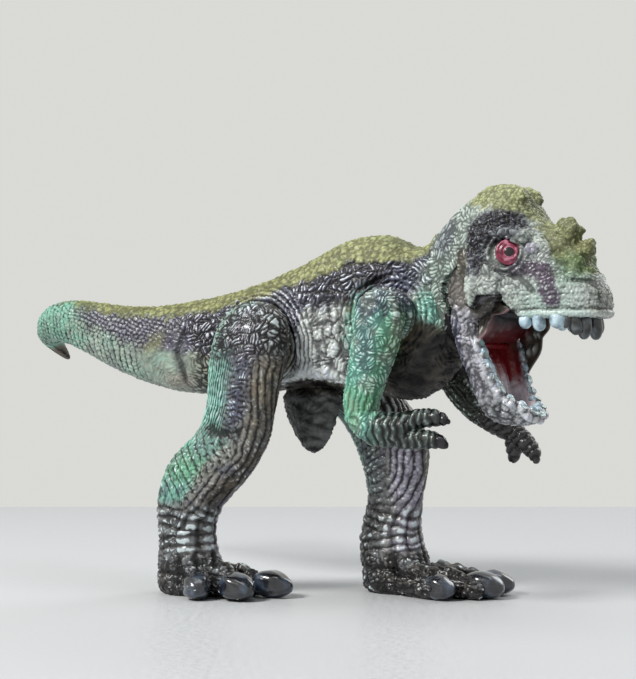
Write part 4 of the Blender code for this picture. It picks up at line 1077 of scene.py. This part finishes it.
def finishShape(shape, name, material, body):
    bmesh.ops.recalc_face_normals(shape, faces=shape.faces)
    mesh = meshFrom(shape, name)
    mesh.shade_smooth()
    made = newObject(name, mesh)
    dress(made, material)
    if body:  # a blended piece rides on none
        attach(made, body)
    return made


def buildClaws(name, side, claws, body):
    shape = bmesh.new()
    for x, y, z, heading, length, halfWidth, halfHeight in claws:
        turn = Matrix.Rotation(side * math.radians(heading), 4, "Z")
        for vert in bmesh.ops.create_uvsphere(shape, u_segments=40, v_segments=26, radius=1)["verts"]:
            along, across, rise = vert.co.z, vert.co.y, vert.co.x
            swell = 1 - 0.20 * max(along, 0) ** 2
            across = math.copysign(abs(across) ** 0.84, across)
            rise = math.copysign(abs(rise) ** 0.84, rise)
            facet = 0.07 * math.cos(5 * math.atan2(rise, across)) * (1 - abs(along))
            wear = 0.10 * noise.noise(Vector((along * 1.7, across * 1.7, rise * 1.7 + heading)))
            local = Vector((along * length, across * halfWidth * (swell + facet + wear),
                            rise * halfHeight * (swell + wear)))
            local.z -= 0.10 * max(local.x, 0)
            spot = turn @ local + Vector((x, y, z))
            spot.z = max(spot.z, 0.03)
            vert.co = spot * mm
    finishShape(shape, name, clawPaint, body)


buildClaws("rightClaws", -1, clawSet["right"], "right_leg_body")
buildClaws("leftClaws", 1, clawSet["left"], "left_leg_body")

toothSet = {
    # along the head, out, length, radius, forward lean
    "upper": ((27.3, 8.5, 2.9, 1.55, 0), (30.6, 7.8, 3.5, 1.75, 0.05), (34.6, 7, 3.3, 2.1, 0.55)),
    "front": ((37.2, 6.1, 2.9, 1.6, 0.1), (38.8, 4.8, 4.6, 1.8, 0.1), (39.9, 2.4, 5.6, 1.9, 0.05)),
    # along the jaw, out, height, length, radius
    "lower": ((12.4, 9.9, -5.1, 0.8, 1.35), (14.3, 9.6, -5.2, 0.9, 1.55), (16.4, 9.2, -5.4, 0.7, 1.5),
              (18.5, 8.8, -5.7, 1, 1.6), (20.6, 8.3, -6.1, 0.7, 1.5), (22.7, 7.8, -6.3, 0.9, 1.5),
              (24.9, 7.2, -6.4, 0.8, 1.3), (27.5, 6.3, -5.8, 1.2, 1.45), (30.2, 4.6, -4.1, 1.1, 1.4),
              (32, 1.9, -3.3, 1.2, 1.45)),
}


def growTooth(shape, base, along, across, length, radius, seed):
    """A blunt swollen tooth from a base point to a round tip."""
    rings, sides = 10, 18
    ahead = Vector((0, 1, 0)) if abs(along.y) < 0.9 else Vector((1, 0, 0))
    u = along.cross(ahead).normalized()
    v = along.cross(u)
    loops = []
    for ring in range(rings):
        t = math.sin(math.pi / 2 * ring / (rings - 1))
        wide = radius * max(1 - t ** 5, 0) ** 0.42 * (0.9 + 0.1 * math.sin(math.pi * t))
        loop = []
        for step in range(sides if ring < rings - 1 else 1):
            a = 2 * math.pi * step / sides
            ripple = 1 + 0.22 * noise.noise(Vector((math.cos(a) * 1.2, math.sin(a) * 1.2, t * 1.6 + seed * 1.7)))
            spot = base + along * (t * length) + (u * math.cos(a) + v * math.sin(a) * across) * wide * ripple
            loop.append(shape.verts.new(spot * mm))
        loops.append(loop)
    joinLoops(shape, loops)
    shape.faces.new(loops[0])


def joinLoops(shape, loops):
    for low, high in zip(loops, loops[1:]):
        for k in range(len(low)):
            after = (k + 1) % len(low)
            if len(high) == 1:
                shape.faces.new((low[k], low[after], high[0]))
            else:
                shape.faces.new((low[k], low[after], high[after], high[k]))


for name, material in (("upper", toothPaint), ("front", shadedToothPaint)):
    shape = bmesh.new()
    for index, (along, out, length, radius, lean) in enumerate(toothSet[name]):
        for side in (-1, 1):
            base = fromHead((along, side * out, -7))
            growTooth(shape, base, headDirection(lean, side * 0.08, -1), 0.85, length + 0.9, radius, index + side)
    finishShape(shape, name + "Teeth", material, "body")

shape = bmesh.new()
for index, (along, out, rise, length, radius) in enumerate(toothSet["lower"]):
    for side in (-1, 1):
        out = out - 0.8 if side < 0 else out
        base = hingeAt + jawForward * along + jawLeft * side * out + jawUp * (rise - 0.7)
        lean = (jawUp + jawForward * 0.12 * math.sin(index * 2.1) - jawLeft * side * 0.05).normalized()
        growTooth(shape, base, lean, 0.9, length + 0.7, radius * (1 if side < 0 else 0.75), 20 + index + side)
finishShape(shape, "lowerTeeth", toothPaint, "jaw")

throatSet = {
    "inner": 3.5, "half": 8.2, "corner": 2.6,
    "root": {"half": 7.9, "outer": 14.45, "thick": 1.45, "edge": -6.6, "start": -95, "sweep": 23},
    # angle round the hinge and outer radius
    "outer": ((-134, 12.7), (-104, 12.85), (-92, 12.8), (-82, 11.8), (-70, 9.6), (-56, 8.4), (-42, 8.6), (-30, 10)),
}
webSet = {
    "top": -26, "bottom": -86, "inner": 4.5, "thick": 0.7,
    # distance from the middle by radius
    "out": ((4, 8.7), (9, 8.9), (12.6, 9.5), (17.4, 9), (22.4, 7.9), (26, 7)),
    # reach of the free edge at the top, middle and bottom
    "near": (10.5, 7.6, 12), "far": (11, 14, 22.5),
    # pale lumps on the far side, by share of the height and of the reach
    "lumps": ((0.30, 0.80), (0.52, 0.84), (0.60, 0.68), (0.72, 0.80), (0.82, 0.72), (0.92, 0.80)),
}


def hingePoint(radius, angle, out):
    """A point round the jaw hinge, by radius, angle in degrees and distance to the left."""
    a = math.radians(angle)
    return fromHead((jawHinge[0] + radius * math.cos(a), out, jawHinge[2] + radius * math.sin(a))) * mm


def thinSheet(rows, columns, pointAt):
    """Two grids of points closed into one thin piece, and the colour of each point."""
    shape, layers, colours = bmesh.new(), [], []
    for face in (0, 1):
        grid = [[pointAt(face, row / rows, column / columns) for column in range(columns + 1)]
                for row in range(rows + 1)]
        colours += [colour for line in grid for _, colour in line]
        layers.append([[shape.verts.new(spot) for spot, _ in line] for line in grid])
    rims = []
    for grid in layers:
        for low, high in zip(grid, grid[1:]):
            for k in range(columns):
                shape.faces.new((low[k], low[k + 1], high[k + 1], high[k]))
        rims.append(grid[0] + [line[-1] for line in grid[1:-1]] + grid[-1][::-1]
                    + [line[0] for line in grid[-2:0:-1]])
    joinLoops(shape, rims)
    return shape, np.array(colours)


def tint(name):
    return np.array(palette[name])


def buildThroat():
    """The wet lining behind the tongue, between the two jaw walls."""
    shape = bmesh.new()
    half, corner = throatSet["half"], throatSet["corner"]
    loops, colours = [], []
    for angle in np.linspace(-134, -30, 53):
        outer = lineAt(angle, throatSet["outer"]) + 0.25 * math.sin(angle * 0.33)
        outline = []
        for share in np.linspace(-1, 1, 33):  # across the mouth, with rounded near and far corners
            out = half * math.copysign(abs(share) ** 0.8, share)
            drop = corner * max(-out / half - 0.55, 0) ** 2 / 0.2
            outline.append((outer - drop + 0.2 * noise.noise(Vector((out * 0.6, angle * 0.12, 1))), out))
        outline += [(throatSet["inner"], half), (throatSet["inner"], -half)]
        loops.append([shape.verts.new(hingePoint(radius, angle, out)) for radius, out in outline])
        # the red is darkened to half and turns near-black away from the tongue: painted shade inside the mouth; the
        # rose on the near edge is a painted highlight
        red = float(ease(-58, -84, angle))
        for radius, out in outline:
            share = red * float(ease(outer - 2.5, outer - 0.8, radius))
            edge = 0.5 * share * float(ease(6, 7.6, -out))
            lining = tint("ink") * (1 - share) + 0.55 * tint("blood") * share
            colours.append(lining * (1 - edge) + tint("rose") * edge)
    joinLoops(shape, loops)
    shape.faces.new(loops[0])
    shape.faces.new(loops[-1])
    lining = finishShape(shape, "throatLining", wetPaint, "body")
    storeLayers(lining, np.array(colours), 0.6, 0.3, 0, 0.2 + 3.5 * np.array(colours)[:, 0])


def buildWeb(name, side, reach):
    """The folded skin at the corner of the mouth, from the cheek to the wall of the jaw."""
    top, bottom, inner = webSet["top"], webSet["bottom"], webSet["inner"]

    def pointAt(face, t, u):
        limit = float(np.interp(t, (0, 0.5, 1), reach)) + 0.8 * (2 * t - 1) ** 2
        radius = inner + (limit - inner) * u
        fold = 0.35 * math.sin(t * 19 + 1.5 * u) + 0.3 * noise.noise(Vector((t * 5, u * 5, side)))
        lump = 0.0
        if side > 0 and face == 0:
            lump = max(math.exp(-((t - a) ** 2 * 900 + (u - b) ** 2 * 420)) for a, b in webSet["lumps"])
        out = lineAt(radius, webSet["out"]) + fold * u + (face - 0.5) * webSet["thick"] - 1.1 * lump
        # on the near web the free edge turns rose: painted highlight
        if side < 0:
            rim = float(ease(0.82, 0.95, u))
            colour = 0.6 * tint("bark") * (1 - rim) + tint("rose") * rim * 0.4
        else:
            inside = float(fade(0.35, 0.6, u + 0.2 * noise.noise(Vector((t * 4, u * 4, 9)))))
            colour = 0.5 * tint("blood") * inside + tint("bark") * (1 - inside) * 0.7
        return hingePoint(radius, top + (bottom - top) * t, side * out), colour * (1 - lump) + tint("chalk") * lump

    shape, colours = thinSheet(48, 36, pointAt)
    web = finishShape(shape, name, wetPaint, None)
    storeLayers(web, colours, 0.55, 0.6, 0.2, 0.35 if side < 0 else 0.7)
    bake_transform(web)


def buildTongueRoot():
    """The lining that joins the tongue to the throat and turns with the jaw."""
    root = throatSet["root"]

    def pointAt(face, t, u):
        out = root["half"] * (2 * u - 1)
        radius = root["outer"] - 0.5 * t - face * (root["thick"] - 0.5 * t)
        # rose on the near edge of the root: painted highlight
        colour = tint("blood") if out > root["edge"] else tint("rose") * 0.6
        return hingePoint(radius, root["start"] - root["sweep"] * t, out), colour

    shape, colours = thinSheet(12, 24, pointAt)
    storeLayers(finishShape(shape, "tongueRoot", wetPaint, "jaw"), colours, 0.6, 0.3, 0.05, 0.9)


wetPaint = vinyl("wetMouthVinyl", pale=(0.5, 0.25, 0.27), coat=0.8, bump=0.05)
buildThroat()
buildTongueRoot()
buildWeb("rightMouthWeb", -1, webSet["near"])
buildWeb("leftMouthWeb", 1, webSet["far"])

eyeSet = {
    "forward": 36, "rise": 4, "out": 2.6,
    # radius and height from the rim to the middle, in mm
    "ball": ((3.3, -0.6), (3.2, 0.15), (2.95, 0.45), (2.65, 0.36), (2.45, 0.30), (2.2, 0.62), (1.95, 0.80),
             (1.7, 0.70), (1.5, 0.58), (1.3, 0.72), (1.1, 0.78)),
    "pupil": ((1.2, 0.66), (1.1, 0.92), (0.8, 1.05), (0.4, 1.12), (0, 1.14)),
}


def turnProfile(shape, profile, matrix, sides=48):
    loops = []
    for radius, rise in profile:
        turns = [2 * math.pi * k / sides for k in range(sides if radius else 1)]
        loops.append([shape.verts.new(matrix @ (Vector((radius * math.cos(a), radius * math.sin(a), rise)) * mm))
                      for a in turns])
    joinLoops(shape, loops)
    shape.faces.new(loops[0])
    if len(loops[-1]) > 1:
        shape.faces.new(loops[-1])


for part, material in (("ball", eyeRed), ("pupil", pupilBlack)):
    shape = bmesh.new()
    for side in (-1, 1):
        ex, ey, ez = headSet["eye"]
        forward, rise = math.radians(eyeSet["forward"]), math.radians(eyeSet["rise"])
        look = headDirection(math.sin(forward), side * math.cos(forward), math.sin(rise))
        spot = fromHead((ex, side * ey, ez)) + look * eyeSet["out"]
        turn = look.to_track_quat("Z", "Y").to_matrix().to_4x4()
        turnProfile(shape, eyeSet[part], Matrix.Translation(spot * mm) @ turn)
    finishShape(shape, "eye" + part.capitalize() + "s", material, "body")

dress(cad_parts["jaw_pin"], pinSteel)
print("stage: claws, teeth and eyes placed")


# ---- floor, light and camera ----

roomSet = {"half": 1.4, "near": -1.4, "far": 0.277, "turn": 28}
shape = bmesh.new()
shape.faces.new([shape.verts.new((x, y, 0)) for x, y in (
    (-roomSet["half"], roomSet["near"]), (roomSet["half"], roomSet["near"]),
    (roomSet["half"], roomSet["far"]), (-roomSet["half"], roomSet["far"]))])
floor = newObject("paleFloor", meshFrom(shape, "paleFloor"))
dress(floor, tones("paleGround", ((0.52, 0.53, 0.54), (0.57, 0.58, 0.59)), 700, 0.50, 0, 0))
floor.rotation_euler = (0, 0, math.radians(roomSet["turn"]))

world = bpy.data.worlds.new("softRoom")
bpy.context.scene.world = world
world.use_nodes = True
sky = world.node_tree
fill = sky.nodes["Background"]
feed(sky, fill, {"Color": (0.93, 0.96, 1, 1), "Strength": 0.22})
seen = node(sky, "ShaderNodeBackground", {"Color": (0.70, 0.70, 0.67, 1)})
rays = node(sky, "ShaderNodeLightPath").outputs
shown = reckon(sky, "MAXIMUM", rays["Is Camera Ray"], rays["Is Glossy Ray"])
shown = reckon(sky, "MAXIMUM", shown, rays["Is Transmission Ray"])
either = node(sky, "ShaderNodeMixShader", {"Fac": shown, 1: fill.outputs[0], 2: seen.outputs[0]})
feed(sky, sky.nodes["World Output"], {"Surface": either.outputs[0]})


def areaLamp(name, spot, target, size, power, colour=(1, 1, 1)):
    lamp = bpy.data.lights.new(name, "AREA")
    lamp.shape = "RECTANGLE"
    lamp.size, lamp.size_y = size
    lamp.energy = power
    lamp.color = colour
    thing = newObject(name, lamp)
    thing.location = spot
    thing.rotation_euler = (Vector(target) - Vector(spot)).to_track_quat("-Z", "Y").to_euler()


areaLamp("windowLight", (-0.32, -0.66, 0.68), (0, 0, 0.06), (0.26, 0.26), 10.3, (1, 0.99, 0.97))
areaLamp("skyLight", (0.15, 0.05, 0.95), (0, 0, 0.05), (0.6, 0.6), 3, (0.96, 0.98, 1))
areaLamp("farLight", (0.35, 0.75, 0.55), (0, 0, 0.06), (0.5, 0.5), 2.6, (0.96, 0.98, 1))

pictureWide, pictureMiddle = 636, 339.5  # in pixels, as are focal and horizon
cameraSet = {"azimuth": 28, "focal": 1480, "distance": 0.410, "height": 0.058, "across": 0.0115, "horizon": 382.0}


def setCamera():
    azimuth = math.radians(cameraSet["azimuth"])
    camera = bpy.data.cameras.new("photoCamera")
    camera.sensor_fit = "HORIZONTAL"
    camera.sensor_width = 36
    camera.lens = cameraSet["focal"] / pictureWide * camera.sensor_width
    camera.clip_start = 0.01
    camera.shift_y = (cameraSet["horizon"] - pictureMiddle) / pictureWide
    thing = newObject("photoCamera", camera)
    toCamera = Vector((math.sin(azimuth), -math.cos(azimuth), 0))
    across = Vector((math.cos(azimuth), math.sin(azimuth), 0))
    spot = across * cameraSet["across"] + toCamera * cameraSet["distance"]
    thing.location = (spot.x - 0.000145, spot.y + 0.000015, cameraSet["height"])
    thing.rotation_euler = (-toCamera).to_track_quat("-Z", "Y").to_euler()
    bpy.context.scene.camera = thing


setCamera()
bpy.context.scene.view_settings.view_transform = "Standard"
print("stage: floor, light and camera set")
